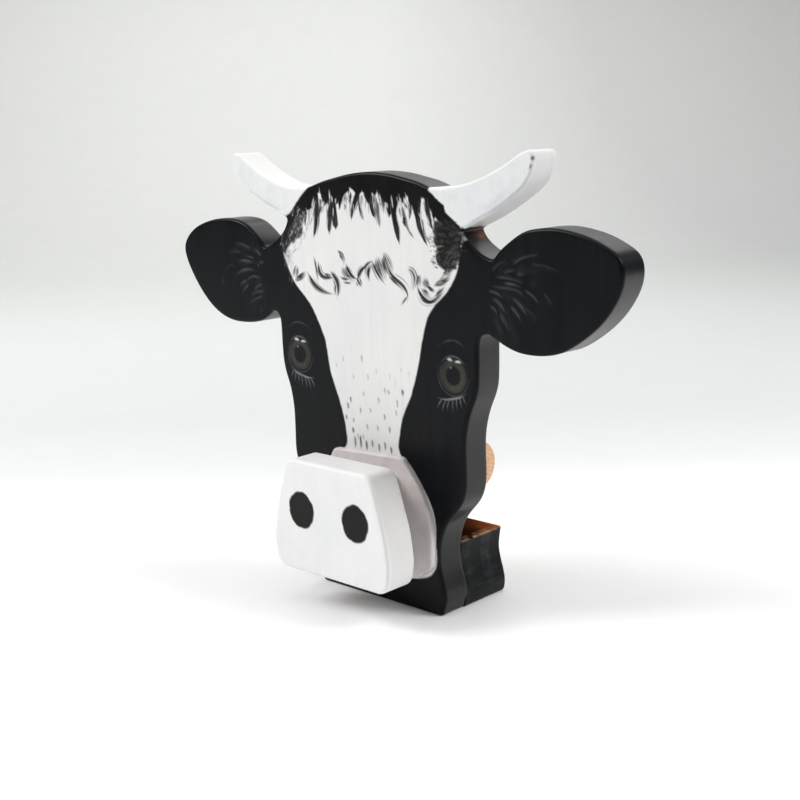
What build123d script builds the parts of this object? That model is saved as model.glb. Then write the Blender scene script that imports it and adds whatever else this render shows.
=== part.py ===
from build123d import *
import os
from math import hypot

# Eyewear stand cut and painted as a cow's head.
# Millimetres. +X along the ears, +Z up, the painted face looks along -Y.
# The stand is symmetric only roughly: the outline is hand cut.

# ---- driving dimensions ----
BOARD_T = 10.5          # stock thickness of the head board
MUZZLE_T = 11.3         # stock thickness of the muzzle block
SLOT_T = 9.5            # gap between board and muzzle block
PLATE_T = 2.0           # thin nose plate glued to the board
SPACER_T = SLOT_T - PLATE_T     # slot the rims hang in
FOOT_T = 19.0           # depth of the block glued behind the base

Y_BOARD_FRONT = -4.35
Y_BOARD_BACK = Y_BOARD_FRONT + BOARD_T
Y_PLATE_FRONT = Y_BOARD_FRONT - PLATE_T
Y_SPACER_FRONT = Y_BOARD_FRONT - SLOT_T
Y_MUZZLE_FRONT = Y_SPACER_FRONT - MUZZLE_T
Y_FOOT_BACK = Y_BOARD_BACK + FOOT_T

BASE_HALF = 26.2        # half width of the sawn base edge
EASE_BOARD = 0.9        # sanded edge radius, board
EASE_MUZZLE = 1.2       # sanded edge radius, muzzle block
EASE_FOOT = 0.7
EASE_PLATE = 0.7

SPACER_HALF = 11.0      # half width of the nose spacer
SPACER_TOP = 41.0
SPACER_BOTTOM = 14.0
SPACER_CORNER = 2.2

FOOT_TOP = 20.8         # height of the foot block

DOWEL_R = 7.2           # rear cross rest, round stock
DOWEL_HALF = 26.5
DOWEL_Z = 42.8

GLUE_DOWEL_R = 3.0      # blind dowels tying muzzle, spacer, plate and board together
GLUE_DOWEL_Z = (22.5, 37.0)
GLUE_DOWEL_IN_MUZZLE = 7.0
GLUE_DOWEL_IN_BOARD = 7.0

SCREW_X = 11.5          # wood screws, board into foot block
SCREW_Z = 16.4
SCREW_HEAD_R = 3.5
SCREW_HEAD_H = 2.2
SCREW_SHANK_R = 1.75
SCREW_ROOT_R = 1.25
SCREW_LEN = 25.0
SCREW_RECESS_R = 1.5
SCREW_RECESS_H = 1.3

PIN_X = 15.0            # pins holding the rear cross rest to the board
PIN_R = 1.5
PIN_IN_BOARD = 6.5
PIN_IN_REST = 9.0

# ---- head outline, x and z in mm, one run per smooth edge ----
SIDE_R = [(25.7, 1.7), (26.5, 4.2), (26.7, 6.1), (26.2, 8.6), (25.3, 11.8),
          (24.6, 15.4), (24.5, 19.2), (25.1, 22.8), (26.4, 26.6), (28.5, 30.1),
          (31.2, 33.1), (33.2, 35.7), (34.4, 38.4), (35.0, 41.5), (35.1, 45.8),
          (35.0, 50.5), (35.2, 55.3), (35.9, 59.1), (37.3, 63.4), (38.8, 66.7),
          (40.0, 70.5), (40.3, 74.3), (40.4, 79.0), (40.5, 82.8), (41.3, 85.3),
          (42.9, 86.4), (44.9, 86.0), (47.5, 84.7), (50.8, 83.2), (54.2, 82.2),
          (58.0, 81.8), (64.1, 82.2), (68.9, 83.5), (73.6, 86.1), (78.4, 89.6),
          (82.2, 93.3), (85.0, 97.1), (87.0, 101.2), (87.6, 105.4), (86.5, 108.8),
          (83.1, 111.3), (78.4, 113.4), (71.2, 115.2), (66.5, 115.7), (61.8, 115.5),
          (57.0, 114.6), (52.2, 111.9), (48.5, 109.1), (46.2, 106.5)]
NOTCH_R = [(46.2, 106.5), (42.3, 107.8), (39.0, 109.7), (36.4, 111.9), (35.0, 114.0)]
HORN_R = [(35.0, 114.0), (38.0, 115.3), (42.8, 117.4), (47.5, 119.9), (52.2, 122.7),
          (57.0, 126.3), (59.2, 129.2), (60.2, 132.2), (60.2, 134.6), (59.4, 135.5),
          (58.0, 135.5), (55.1, 134.4), (51.8, 132.5), (47.5, 130.4), (42.8, 128.5),
          (38.0, 127.0), (33.2, 126.1), (28.5, 125.5), (24.2, 125.5)]
CROWN = [(24.2, 125.5), (22.8, 126.0), (19.0, 127.2), (15.2, 128.0), (9.5, 129.1),
         (4.8, 129.6), (0.0, 129.8), (-4.8, 129.5), (-9.5, 128.9), (-15.2, 127.8),
         (-19.0, 127.0), (-23.1, 125.8), (-25.0, 125.2)]
HORN_L = [(-25.0, 125.2), (-28.5, 125.0), (-33.2, 125.2), (-38.0, 126.0), (-42.8, 127.6),
          (-47.5, 129.7), (-52.2, 132.2), (-55.4, 134.2), (-57.8, 135.5), (-59.3, 135.5),
          (-60.0, 134.6), (-60.1, 132.2), (-59.2, 129.2), (-57.0, 126.1), (-52.2, 123.4),
          (-47.5, 121.0), (-42.8, 118.9), (-38.0, 117.0), (-35.0, 115.4)]
NOTCH_L = [(-35.0, 115.4), (-36.7, 112.3), (-39.4, 109.7), (-42.8, 107.5), (-46.7, 105.9)]
SIDE_L = [(-46.7, 105.9), (-48.6, 108.2), (-52.2, 111.1), (-54.7, 112.8), (-59.3, 114.4),
          (-65.3, 114.8), (-70.5, 114.4), (-76.1, 113.2), (-81.7, 111.1), (-85.6, 108.2),
          (-87.6, 104.8), (-87.0, 101.1), (-84.7, 96.7), (-81.7, 92.5), (-77.0, 87.5),
          (-71.7, 83.8), (-65.3, 81.6), (-58.9, 81.2), (-53.2, 81.7), (-49.1, 82.8),
          (-45.4, 85.1), (-43.0, 86.1), (-41.1, 85.0), (-40.5, 82.8), (-40.4, 79.0),
          (-40.3, 74.3), (-40.0, 70.5), (-39.1, 66.7), (-37.8, 63.4), (-36.7, 59.1),
          (-36.2, 55.3), (-36.1, 50.5), (-36.2, 45.8), (-36.1, 41.5), (-35.3, 38.4),
          (-33.7, 35.7), (-31.2, 33.1), (-28.5, 30.1), (-26.4, 26.6), (-25.1, 22.8),
          (-24.5, 19.2), (-24.6, 15.4), (-25.3, 11.8), (-26.2, 8.6), (-26.7, 6.1),
          (-26.5, 4.2), (-25.7, 1.7)]

# muzzle block, right half, corners with their radii
PLATE = [((17.2, 10.4), 2.0), ((23.3, 14.6), 3.0), ((23.9, 25.0), 20.0), ((22.9, 31.4), 8.0), ((19.4, 38.5), 12.0), ((12.5, 46.9), 2.2),
         ((-16.2, 45.8), 2.2), ((-21.0, 37.6), 12.0), ((-23.2, 31.0), 8.0), ((-23.9, 25.0), 20.0), ((-23.3, 14.6), 3.0), ((-17.2, 10.4), 2.0)]
MUZZLE_HALF = [((22.9, 11.7), 4.5), ((24.3, 20.0), 12.0), ((23.0, 29.0), 30.0), ((17.5, 46.2), 4.0)]

# foot block, right half
FOOT_HALF = [(25.9, 1.4), (26.1, 3.6), (25.6, 6.6), (24.6, 10.2), (23.9, 13.6),
             (24.1, 17.0), (24.8, FOOT_TOP)]


def smooth(points):
    return Spline(*[Vector(x, z) for x, z in points])


def slab(face, y_front, thickness):
    """Stand a sketch drawn in x/z upright, front at y_front, grown towards +Y."""
    solid = extrude(face, amount=thickness, dir=(0, 0, -1))
    return Pos(0, y_front, 0) * (Rot(90, 0, 0) * solid)


def face_edges(solid, y):
    return [e for e in solid.edges()
            if abs(e.bounding_box().min.Y - y) < 1e-4 and abs(e.bounding_box().max.Y - y) < 1e-4]


def ease(solid, ys, radius):
    for y in ys:
        for r in (radius, radius * 0.6, radius * 0.35):
            try:
                solid = fillet(face_edges(solid, y), r)
                break
            except Exception:
                continue
        else:
            print("edge left sharp at y", y)
    return solid


def cyl(radius, y0, y1, x, z):
    return Pos(x, (y0 + y1) / 2, z) * (Rot(90, 0, 0) * Cylinder(radius, abs(y1 - y0)))


os.makedirs("parts", exist_ok=True)
parts = {}

# ---- head board: face, ears and horns in one flat board ----
with BuildLine() as outline:
    a = smooth(SIDE_R)
    b = smooth(NOTCH_R)
    c = smooth(HORN_R)
    d = smooth(CROWN)
    e = smooth(HORN_L)
    f = smooth(NOTCH_L)
    g = smooth(SIDE_L)
    Line((-25.7, 1.7), (-25.2, 0.0))
    Line((-25.2, 0.0), (25.2, 0.0))
    Line((25.2, 0.0), (25.7, 1.7))
head_face = make_face(outline.line.edges()) if hasattr(outline.line, "edges") else make_face(outline.edges())
board = slab(head_face, Y_BOARD_FRONT, BOARD_T)
board = ease(board, (Y_BOARD_FRONT, Y_BOARD_BACK), EASE_BOARD)

def mirrored(half):
    return half + [((-x, z), r) for (x, z), r in reversed(half)]


def rounded_face(corners):
    """Polygon with a radius at each corner."""
    face = make_face(Polyline(*[c[0] for c in corners], close=True).edges())
    for (x, z), r in corners:
        v = min(face.vertices(), key=lambda w: hypot(w.X - x, w.Y - z))
        face = fillet(v, r)
    return face


# ---- thin nose plate on the board ----
plate = slab(rounded_face(PLATE), Y_PLATE_FRONT, PLATE_T)
plate = ease(plate, (Y_PLATE_FRONT,), EASE_PLATE)

# ---- nose spacer ----
spacer_w = 2 * SPACER_HALF
spacer_h = SPACER_TOP - SPACER_BOTTOM
spacer = Pos(0, Y_SPACER_FRONT + SPACER_T / 2, SPACER_BOTTOM + spacer_h / 2) * Box(spacer_w, SPACER_T, spacer_h)
spacer = fillet(spacer.edges().filter_by(Axis.Y), SPACER_CORNER)

# ---- muzzle block ----
muzzle = slab(rounded_face(mirrored(MUZZLE_HALF)), Y_MUZZLE_FRONT, MUZZLE_T)
muzzle = ease(muzzle, (Y_MUZZLE_FRONT, Y_SPACER_FRONT), EASE_MUZZLE)

# ---- foot block ----
with BuildLine() as fl:
    Line((-25.4, 0), (25.4, 0))
    Line((25.4, 0), FOOT_HALF[0])
    Spline(*FOOT_HALF)
    Line(FOOT_HALF[-1], (-FOOT_HALF[-1][0], FOOT_TOP))
    Spline(*[(-x, z) for x, z in reversed(FOOT_HALF)])
    Line((-FOOT_HALF[0][0], FOOT_HALF[0][1]), (-25.4, 0))
foot = slab(make_face(fl.line.edges()), Y_BOARD_BACK, FOOT_T)
foot = ease(foot, (Y_FOOT_BACK,), EASE_FOOT)

# ---- rear cross rest ----
Y_REST = Y_BOARD_BACK + DOWEL_R
rest = Pos(0, Y_REST, DOWEL_Z) * (Rot(0, 90, 0) * Cylinder(DOWEL_R, 2 * DOWEL_HALF))
rest = chamfer(rest.edges().filter_by(GeomType.CIRCLE), 0.5)

# ---- hidden blind dowels through board, plate, spacer and muzzle ----
blind = []
for z in GLUE_DOWEL_Z:
    p = cyl(GLUE_DOWEL_R, Y_SPACER_FRONT - GLUE_DOWEL_IN_MUZZLE, Y_BOARD_FRONT + GLUE_DOWEL_IN_BOARD, 0, z)
    blind.append(chamfer(p.edges().filter_by(GeomType.CIRCLE), 0.5))
for p in blind:
    board = board - p
    plate = plate - p
    spacer = spacer - p
    muzzle = muzzle - p

# ---- countersunk wood screws, board into foot block ----
screws = []
for sx in (-SCREW_X, SCREW_X):
    y0 = Y_BOARD_FRONT
    head = Pos(sx, y0 + SCREW_HEAD_H / 2, SCREW_Z) * (
        Rot(90, 0, 0) * Cone(SCREW_SHANK_R, SCREW_HEAD_R, SCREW_HEAD_H))
    shank = cyl(SCREW_SHANK_R, y0 + SCREW_HEAD_H - 0.01, y0 + SCREW_LEN * 0.4, sx, SCREW_Z)
    root = cyl(SCREW_SHANK_R * 0.9, y0 + SCREW_LEN * 0.4 - 0.01, y0 + SCREW_LEN - 3.0, sx, SCREW_Z)
    tip = Pos(sx, y0 + SCREW_LEN - 1.5, SCREW_Z) * (
        Rot(90, 0, 0) * Cone(0.15, SCREW_SHANK_R * 0.9, 3.0))
    screw = head + shank + root + tip
    board = board - screw
    foot = foot - screw
    recess = cyl(SCREW_RECESS_R, y0 - 0.1, y0 + SCREW_RECESS_H, sx, SCREW_Z)
    slot_a = Pos(sx, y0 + SCREW_RECESS_H / 2, SCREW_Z) * Box(3.6, SCREW_RECESS_H, 0.8)
    slot_b = Pos(sx, y0 + SCREW_RECESS_H / 2, SCREW_Z) * Box(0.8, SCREW_RECESS_H, 3.6)
    screws.append(screw - slot_a - slot_b)

# ---- pins holding the rear cross rest ----
pins = []
for px in (-PIN_X, PIN_X):
    p = cyl(PIN_R, Y_BOARD_BACK - PIN_IN_BOARD, Y_BOARD_BACK + PIN_IN_REST, px, DOWEL_Z)
    pins.append(chamfer(p.edges().filter_by(GeomType.CIRCLE), 0.3))
for p in pins:
    board = board - p
    rest = rest - p

parts["head_board"] = board
parts["nose_plate"] = plate
parts["nose_spacer"] = spacer
parts["muzzle_block"] = muzzle
parts["foot_block"] = foot
parts["rear_rest"] = rest
parts["blind_dowels"] = Compound(children=blind)
parts["foot_screws"] = Compound(children=screws)
parts["rest_pins"] = Compound(children=pins)

for name, shape in parts.items():
    bb = shape.bounding_box()
    print(name, [round(v, 2) for v in (bb.min.X, bb.min.Y, bb.min.Z, bb.max.X, bb.max.Y, bb.max.Z)],
          "solids", len(shape.solids()), "vol", round(shape.volume, 1))
    export_step(shape, f"parts/{name}.step")
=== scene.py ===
import bpy
import bmesh
import math
import numpy as np
from mathutils import Vector, Matrix
from mathutils.geometry import delaunay_2d_cdt
from mathutils.kdtree import KDTree


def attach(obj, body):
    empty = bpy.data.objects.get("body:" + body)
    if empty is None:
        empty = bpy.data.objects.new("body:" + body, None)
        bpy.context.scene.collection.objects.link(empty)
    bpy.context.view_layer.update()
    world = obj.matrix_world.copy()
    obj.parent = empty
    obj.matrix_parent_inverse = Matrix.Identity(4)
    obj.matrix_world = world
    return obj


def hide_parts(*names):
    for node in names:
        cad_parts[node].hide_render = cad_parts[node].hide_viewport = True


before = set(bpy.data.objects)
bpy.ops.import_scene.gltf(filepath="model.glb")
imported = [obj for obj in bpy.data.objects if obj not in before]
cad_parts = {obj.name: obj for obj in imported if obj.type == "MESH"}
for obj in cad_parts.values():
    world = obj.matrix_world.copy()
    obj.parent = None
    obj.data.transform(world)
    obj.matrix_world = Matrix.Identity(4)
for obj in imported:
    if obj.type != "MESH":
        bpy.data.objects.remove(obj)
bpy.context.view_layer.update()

MM = 0.001
U = 0.95            # mm in one painting unit
LIFT = 1.2          # painting units from the table to the outline's zero


def mm(points):
    """Painting units (x, height) to millimetres in the frame."""
    return [(p[0] * U, (p[1] + LIFT) * U) + tuple(p[2:]) for p in points]


# ------------------------------------------------------------------ outlines
SIDE_R = [(25.7, 1.7), (26.5, 4.2), (26.7, 6.1), (26.2, 8.6), (25.3, 11.8),
          (24.6, 15.4), (24.5, 19.2), (25.1, 22.8), (26.4, 26.6), (28.5, 30.1),
          (31.2, 33.1), (33.2, 35.7), (34.4, 38.4), (35.0, 41.5), (35.1, 45.8),
          (35.0, 50.5), (35.2, 55.3), (35.9, 59.1), (37.3, 63.4), (38.8, 66.7),
          (40.0, 70.5), (40.3, 74.3), (40.4, 79.0), (40.5, 82.8), (41.3, 85.3),
          (42.9, 86.4), (44.9, 86.0), (47.5, 84.7), (50.8, 83.2), (54.2, 82.2),
          (58.0, 81.8), (64.1, 82.2), (68.9, 83.5), (73.6, 86.1), (78.4, 89.6),
          (82.2, 93.3), (85.0, 97.1), (87.0, 101.2), (87.6, 105.4), (86.5, 108.8),
          (83.1, 111.3), (78.4, 113.4), (71.2, 115.2), (66.5, 115.7), (61.8, 115.5),
          (57.0, 114.6), (52.2, 111.9), (48.5, 109.1), (46.2, 106.5)]
NOTCH_R = [(46.2, 106.5), (42.3, 107.8), (39.0, 109.7), (36.4, 111.9), (35.0, 114.0)]
HORN_R = [(35.0, 114.0), (38.0, 115.3), (42.8, 117.4), (47.5, 119.9), (52.2, 122.7),
          (57.0, 126.3), (59.2, 129.2), (60.2, 132.2), (60.2, 134.6), (59.4, 135.5),
          (58.0, 135.5), (55.1, 134.4), (51.8, 132.5), (47.5, 130.4), (42.8, 128.5),
          (38.0, 127.0), (33.2, 126.1), (28.5, 125.5), (24.2, 125.5)]
CROWN = [(24.2, 125.5), (22.8, 126.0), (19.0, 127.2), (15.2, 128.0), (9.5, 129.1),
         (4.8, 129.6), (0.0, 129.8), (-4.8, 129.5), (-9.5, 128.9), (-15.2, 127.8),
         (-19.0, 127.0), (-23.1, 125.8), (-25.0, 125.2)]
HORN_L = [(-25.0, 125.2), (-28.5, 125.0), (-33.2, 125.2), (-38.0, 126.0), (-42.8, 127.6),
          (-47.5, 129.7), (-52.2, 132.2), (-55.4, 134.2), (-57.8, 135.5), (-59.3, 135.5),
          (-60.0, 134.6), (-60.1, 132.2), (-59.2, 129.2), (-57.0, 126.1), (-52.2, 123.4),
          (-47.5, 121.0), (-42.8, 118.9), (-38.0, 117.0), (-35.0, 115.4)]
NOTCH_L = [(-35.0, 115.4), (-36.7, 112.3), (-39.4, 109.7), (-42.8, 107.5), (-46.7, 105.9)]
SIDE_L = [(-46.7, 105.9), (-48.6, 108.2), (-52.2, 111.1), (-54.7, 112.8), (-59.3, 114.4),
          (-65.3, 114.8), (-70.5, 114.4), (-76.1, 113.2), (-81.7, 111.1), (-85.6, 108.2),
          (-87.6, 104.8), (-87.0, 101.1), (-84.7, 96.7), (-81.7, 92.5), (-77.0, 87.5),
          (-71.7, 83.8), (-65.3, 81.6), (-58.9, 81.2), (-53.2, 81.7), (-49.1, 82.8),
          (-45.4, 85.1), (-43.0, 86.1), (-41.1, 85.0), (-40.5, 82.8), (-40.4, 79.0),
          (-40.3, 74.3), (-40.0, 70.5), (-39.1, 66.7), (-37.8, 63.4), (-36.7, 59.1),
          (-36.2, 55.3), (-36.1, 50.5), (-36.2, 45.8), (-36.1, 41.5), (-35.3, 38.4),
          (-33.7, 35.7), (-31.2, 33.1), (-28.5, 30.1), (-26.4, 26.6), (-25.1, 22.8),
          (-24.5, 19.2), (-24.6, 15.4), (-25.3, 11.8), (-26.2, 8.6), (-26.7, 6.1),
          (-26.5, 4.2), (-25.7, 1.7)]
MUZZLE_HALF = [((22.9, 11.7), 4.5), ((24.3, 20.0), 12.0), ((23.0, 29.0), 30.0), ((17.5, 46.2), 4.0)]
PLATE = [((17.2, 10.4), 2.0), ((23.3, 14.6), 3.0), ((23.9, 25.0), 20.0), ((22.9, 31.4), 8.0), ((19.4, 38.5), 12.0), ((12.5, 46.9), 2.2),
         ((-16.2, 45.8), 2.2), ((-21.0, 37.6), 12.0), ((-23.2, 31.0), 8.0), ((-23.9, 25.0), 20.0), ((-23.3, 14.6), 3.0), ((-17.2, 10.4), 2.0)]
FOOT_HALF = [(25.9, 1.4), (26.1, 3.6), (25.6, 6.6), (24.6, 10.2), (23.9, 13.6),
             (24.1, 17.0), (24.8, 20.8)]


# ------------------------------------------------------------------ curves
def spline(points, step):
    """Natural cubic through the points, chord-length parameter, resampled evenly."""
    p = np.array([q[:2] for q in points], float)
    if len(p) == 2:
        n = max(1, int(round(np.linalg.norm(p[1] - p[0]) / step)))
        return np.array([p[0] + (p[1] - p[0]) * i / n for i in range(n + 1)])
    t = np.concatenate([[0], np.cumsum(np.linalg.norm(np.diff(p, axis=0), axis=1))])
    n = len(t)
    h = np.diff(t)
    a = np.zeros((n, n))
    b = np.zeros((n, 2))
    a[0, 0] = a[-1, -1] = 1
    for i in range(1, n - 1):
        a[i, i - 1], a[i, i], a[i, i + 1] = h[i - 1], 2 * (h[i - 1] + h[i]), h[i]
        b[i] = 6 * ((p[i + 1] - p[i]) / h[i] - (p[i] - p[i - 1]) / h[i - 1])
    m = np.linalg.solve(a, b)
    tt = np.linspace(0, t[-1], max(8, int(t[-1] / 0.05)))
    k = np.clip(np.searchsorted(t, tt, side="right") - 1, 0, n - 2)
    u0, u1, hk = (t[k + 1] - tt)[:, None], (tt - t[k])[:, None], h[k][:, None]
    q = (m[k] * u0 ** 3 + m[k + 1] * u1 ** 3) / (6 * hk) \
        + (p[k] / hk - m[k] * hk / 6) * u0 + (p[k + 1] / hk - m[k + 1] * hk / 6) * u1
    s = np.concatenate([[0], np.cumsum(np.linalg.norm(np.diff(q, axis=0), axis=1))])
    n = max(2, int(round(s[-1] / step)))
    g = np.linspace(0, s[-1], n + 1)
    return np.stack([np.interp(g, s, q[:, 0]), np.interp(g, s, q[:, 1])], 1)


def joined(runs, step):
    out = []
    for r in runs:
        out.extend(spline(r, step)[:-1])
    return np.array(out)


def rounded_polygon(corners, step):
    """Polygon with a radius at each corner, resampled evenly."""
    out = []
    n = len(corners)
    for i in range(n):
        p0 = np.array(corners[i - 1][0], float)
        p1, r = np.array(corners[i][0], float), corners[i][1]
        p2 = np.array(corners[(i + 1) % n][0], float)
        a, b = p0 - p1, p2 - p1
        a /= np.linalg.norm(a)
        b /= np.linalg.norm(b)
        half = math.acos(max(-1, min(1, float(a @ b)))) / 2
        t = r / math.tan(half)
        c = p1 + (a + b) / np.linalg.norm(a + b) * (r / math.sin(half))
        s, e = p1 + a * t - c, p1 + b * t - c
        ang0, ang1 = math.atan2(s[1], s[0]), math.atan2(e[1], e[0])
        d = (ang1 - ang0 + math.pi) % (2 * math.pi) - math.pi
        for k in range(13):
            w = ang0 + d * k / 12
            out.append(c + r * np.array([math.cos(w), math.sin(w)]))
    return even(np.array(out), step)


def even(q, step):
    q = np.vstack([q, q[:1]])
    s = np.concatenate([[0], np.cumsum(np.linalg.norm(np.diff(q, axis=0), axis=1))])
    n = int(round(s[-1] / step))
    g = np.linspace(0, s[-1], n + 1)[:-1]
    return np.stack([np.interp(g, s, q[:, 0]), np.interp(g, s, q[:, 1])], 1)


def soften(q, times):
    for _ in range(times):
        q = 0.5 * q + 0.25 * (np.roll(q, 1, 0) + np.roll(q, -1, 0))
    return q


# ------------------------------------------------------------------ noise
class Lattice:
    def __init__(self, seed, n=256):
        self.n = n
        self.v = np.random.RandomState(seed).rand(n, n).astype(np.float32)

    def at(self, x, y, size):
        gx, gy = x / size, y / size
        ix, iy = np.floor(gx).astype(int), np.floor(gy).astype(int)
        fx, fy = gx - ix, gy - iy
        fx, fy = fx * fx * (3 - 2 * fx), fy * fy * (3 - 2 * fy)
        n = self.n
        a, b = self.v[ix % n, iy % n], self.v[(ix + 1) % n, iy % n]
        c, d = self.v[ix % n, (iy + 1) % n], self.v[(ix + 1) % n, (iy + 1) % n]
        return (a * (1 - fx) + b * fx) * (1 - fy) + (c * (1 - fx) + d * fx) * fy

    def fractal(self, x, y, size, octaves=3):
        out, amp, tot = 0, 1.0, 0
        for k in range(octaves):
            out = out + amp * self.at(x + 17.3 * k, y + 9.1 * k, size / 2 ** k)
            tot += amp
            amp *= 0.5
        return out / tot


def smooth(a, b, x):
    t = np.clip((x - a) / (b - a), 0, 1)
    return t * t * (3 - 2 * t)


# ------------------------------------------------------------------ a painted canvas
class Canvas:
    """Colours laid on a plane in millimetres, read back at mesh vertices."""

    def __init__(self, x0, x1, z0, z1, res):
        self.x0, self.z0, self.res = x0, z0, res
        self.w, self.h = int(round((x1 - x0) / res)), int(round((z1 - z0) / res))
        self.X, self.Z = np.meshgrid(x0 + (np.arange(self.w) + 0.5) * res,
                                     z0 + (np.arange(self.h) + 0.5) * res)
        self.rgb = np.zeros((self.h, self.w, 3), np.float32)
        self.cover = np.zeros((self.h, self.w), np.float32)

    def window(self, lo, hi):
        i0 = max(0, int((lo[1] - self.z0) / self.res) - 1)
        i1 = min(self.h, int((hi[1] - self.z0) / self.res) + 2)
        j0 = max(0, int((lo[0] - self.x0) / self.res) - 1)
        j1 = min(self.w, int((hi[0] - self.x0) / self.res) + 2)
        return slice(i0, max(i0, i1)), slice(j0, max(j0, j1))

    def lay(self, win, alpha, colour, white=None):
        a = alpha[..., None]
        self.rgb[win] = self.rgb[win] * (1 - a) + np.asarray(colour, np.float32) * a
        if white is not None:
            self.cover[win] = self.cover[win] * (1 - alpha) + white * alpha

    def inside(self, poly, win, wob=0.0, seed=1, size=3.0):
        X, Z = self.X[win], self.Z[win]
        if wob:
            n = Lattice(seed)
            X = X + wob * (n.fractal(X + 200, Z + 200, size) - 0.5) * 2
            Z = Z + wob * (n.fractal(X + 500, Z + 100, size) - 0.5) * 2
        hit = np.zeros(X.shape, bool)
        p = np.asarray(poly, float)
        for i in range(len(p)):
            xa, za = p[i - 1]
            xb, zb = p[i]
            if za == zb:
                continue
            cross = ((za > Z) != (zb > Z)) & (X < (xb - xa) * (Z - za) / (zb - za) + xa)
            hit ^= cross
        return hit.astype(np.float32)

    def blur(self, m, times=1):
        for _ in range(times):
            q = np.pad(m, 1, mode="edge")
            m = (q[:-2, 1:-1] + q[1:-1, 1:-1] + q[2:, 1:-1]) / 3
            q = np.pad(m, 1, mode="edge")
            m = (q[1:-1, :-2] + q[1:-1, 1:-1] + q[1:-1, 2:]) / 3
        return m

    def fill(self, poly, colour, alpha=1.0, wob=0.0, seed=1, size=3.0, soft=1, white=None, texture=None):
        p = np.asarray(poly, float)
        win = self.window(p.min(0) - 1.5, p.max(0) + 1.5)
        m = self.blur(self.inside(poly, win, wob, seed, size), soft)
        if texture is not None:
            m = m * texture(self.X[win], self.Z[win])
        self.lay(win, np.clip(m * alpha, 0, 1), colour, white)

    def stroke(self, points, width, colour, alpha=1.0, dry=0.0, seed=3, tip=0.35, root=0.15, white=None,
               fade=(0.0, 0.0)):
        """A tapered brush stroke. width in mm, one value or one per point."""
        pts = np.array([p[:2] for p in points], float)
        w = np.array(width, float) * np.ones(len(pts))
        path = spline(pts, 0.12) if len(pts) > 2 else spline(pts, 0.12)
        s = np.concatenate([[0], np.cumsum(np.linalg.norm(np.diff(path, axis=0), axis=1))])
        t = s / max(s[-1], 1e-6)
        near = [int(np.argmin(np.linalg.norm(path - q, axis=1))) for q in pts]
        wid = np.interp(np.arange(len(path)), near, w) / 2
        taper = smooth(0, tip, 1 - t) * 0.9 + 0.1 if tip else np.ones_like(t)
        taper = taper * (smooth(0, root, t) * 0.75 + 0.25 if root else 1)
        wid = np.maximum(wid * taper, 0.05)
        d = np.gradient(path, axis=0)
        d /= np.maximum(np.linalg.norm(d, axis=1, keepdims=True), 1e-9)
        pad = wid.max() + 0.4
        win = self.window(path.min(0) - pad, path.max(0) + pad)
        X, Z = self.X[win], self.Z[win]
        if X.size == 0:
            return
        best = np.full(X.shape, 1e9, np.float32)
        side = np.zeros(X.shape, np.float32)
        along = np.zeros(X.shape, np.float32)
        half = np.full(X.shape, 0.1, np.float32)
        for k in range(len(path)):
            dx, dz = X - path[k, 0], Z - path[k, 1]
            r = dx * dx + dz * dz
            m = r < best
            best = np.where(m, r, best)
            side = np.where(m, d[k, 0] * dz - d[k, 1] * dx, side)
            along = np.where(m, t[k], along)
            half = np.where(m, wid[k], half)
        r = np.sqrt(best)
        a = 1 - smooth(-0.09, 0.09, r - half)
        if dry:
            n = Lattice(seed)
            bristle = n.at(side / 0.16 + 40, along * 3.0 + 10, 1.0) * 0.65 + n.at(side / 0.09 + 70, along * 6 + 3, 1.0) * 0.35
            a = a * (1 - dry * smooth(0.35, 0.75, bristle + 0.25 * (along - 0.5)))
        if fade[0]:
            a = a * smooth(0, fade[0], along)
        if fade[1]:
            a = a * smooth(0, fade[1], 1 - along)
        self.lay(win, np.clip(a * alpha, 0, 1), colour, white)

    def tuft(self, points, width, tones, count, seed, alpha=0.8, spread=1.0, hair=(0.22, 0.40), late=0.3, tint=(1, 1, 1)):
        """Several fine hairs following one stroke."""
        rng = np.random.RandomState(seed)
        pts = np.array([p[:2] for p in points], float)
        w = np.array(width, float) * np.ones(len(pts))
        path = spline(pts, 0.2)
        t = np.linspace(0, 1, len(path))
        near = [int(np.argmin(np.linalg.norm(path - q, axis=1))) for q in pts]
        wid = np.interp(np.arange(len(path)), near, w)
        d = np.gradient(path, axis=0)
        d /= np.maximum(np.linalg.norm(d, axis=1, keepdims=True), 1e-9)
        nrm = np.stack([-d[:, 1], d[:, 0]], 1)
        for _ in range(count):
            off = rng.uniform(-0.5, 0.5) * spread
            drift = off + rng.uniform(-0.22, 0.22) * spread
            t0, t1 = rng.uniform(0, late), rng.uniform(0.62, 1.0)
            k = [int(v * (len(path) - 1)) for v in np.linspace(t0, t1, 5)]
            q = [path[i] + nrm[i] * wid[i] * (off + (drift - off) * j / 4) for j, i in enumerate(k)]
            tone = tones[0] * (tones[1] / tones[0]) ** rng.rand()
            self.stroke(q, rng.uniform(*hair), tuple(tone * c for c in tint), alpha=alpha * rng.uniform(0.65, 1.0), tip=0.5, root=0.25,
                        fade=(0.06, 0.22))

    def read(self, x, z):
        gx = np.clip((x - self.x0) / self.res - 0.5, 0, self.w - 1.001)
        gz = np.clip((z - self.z0) / self.res - 0.5, 0, self.h - 1.001)
        ix, iz = gx.astype(int), gz.astype(int)
        fx, fz = (gx - ix)[:, None], (gz - iz)[:, None]
        both = np.dstack([self.rgb, self.cover])
        return (both[iz, ix] * (1 - fx) + both[iz, ix + 1] * fx) * (1 - fz) \
            + (both[iz + 1, ix] * (1 - fx) + both[iz + 1, ix + 1] * fx) * fz

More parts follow.
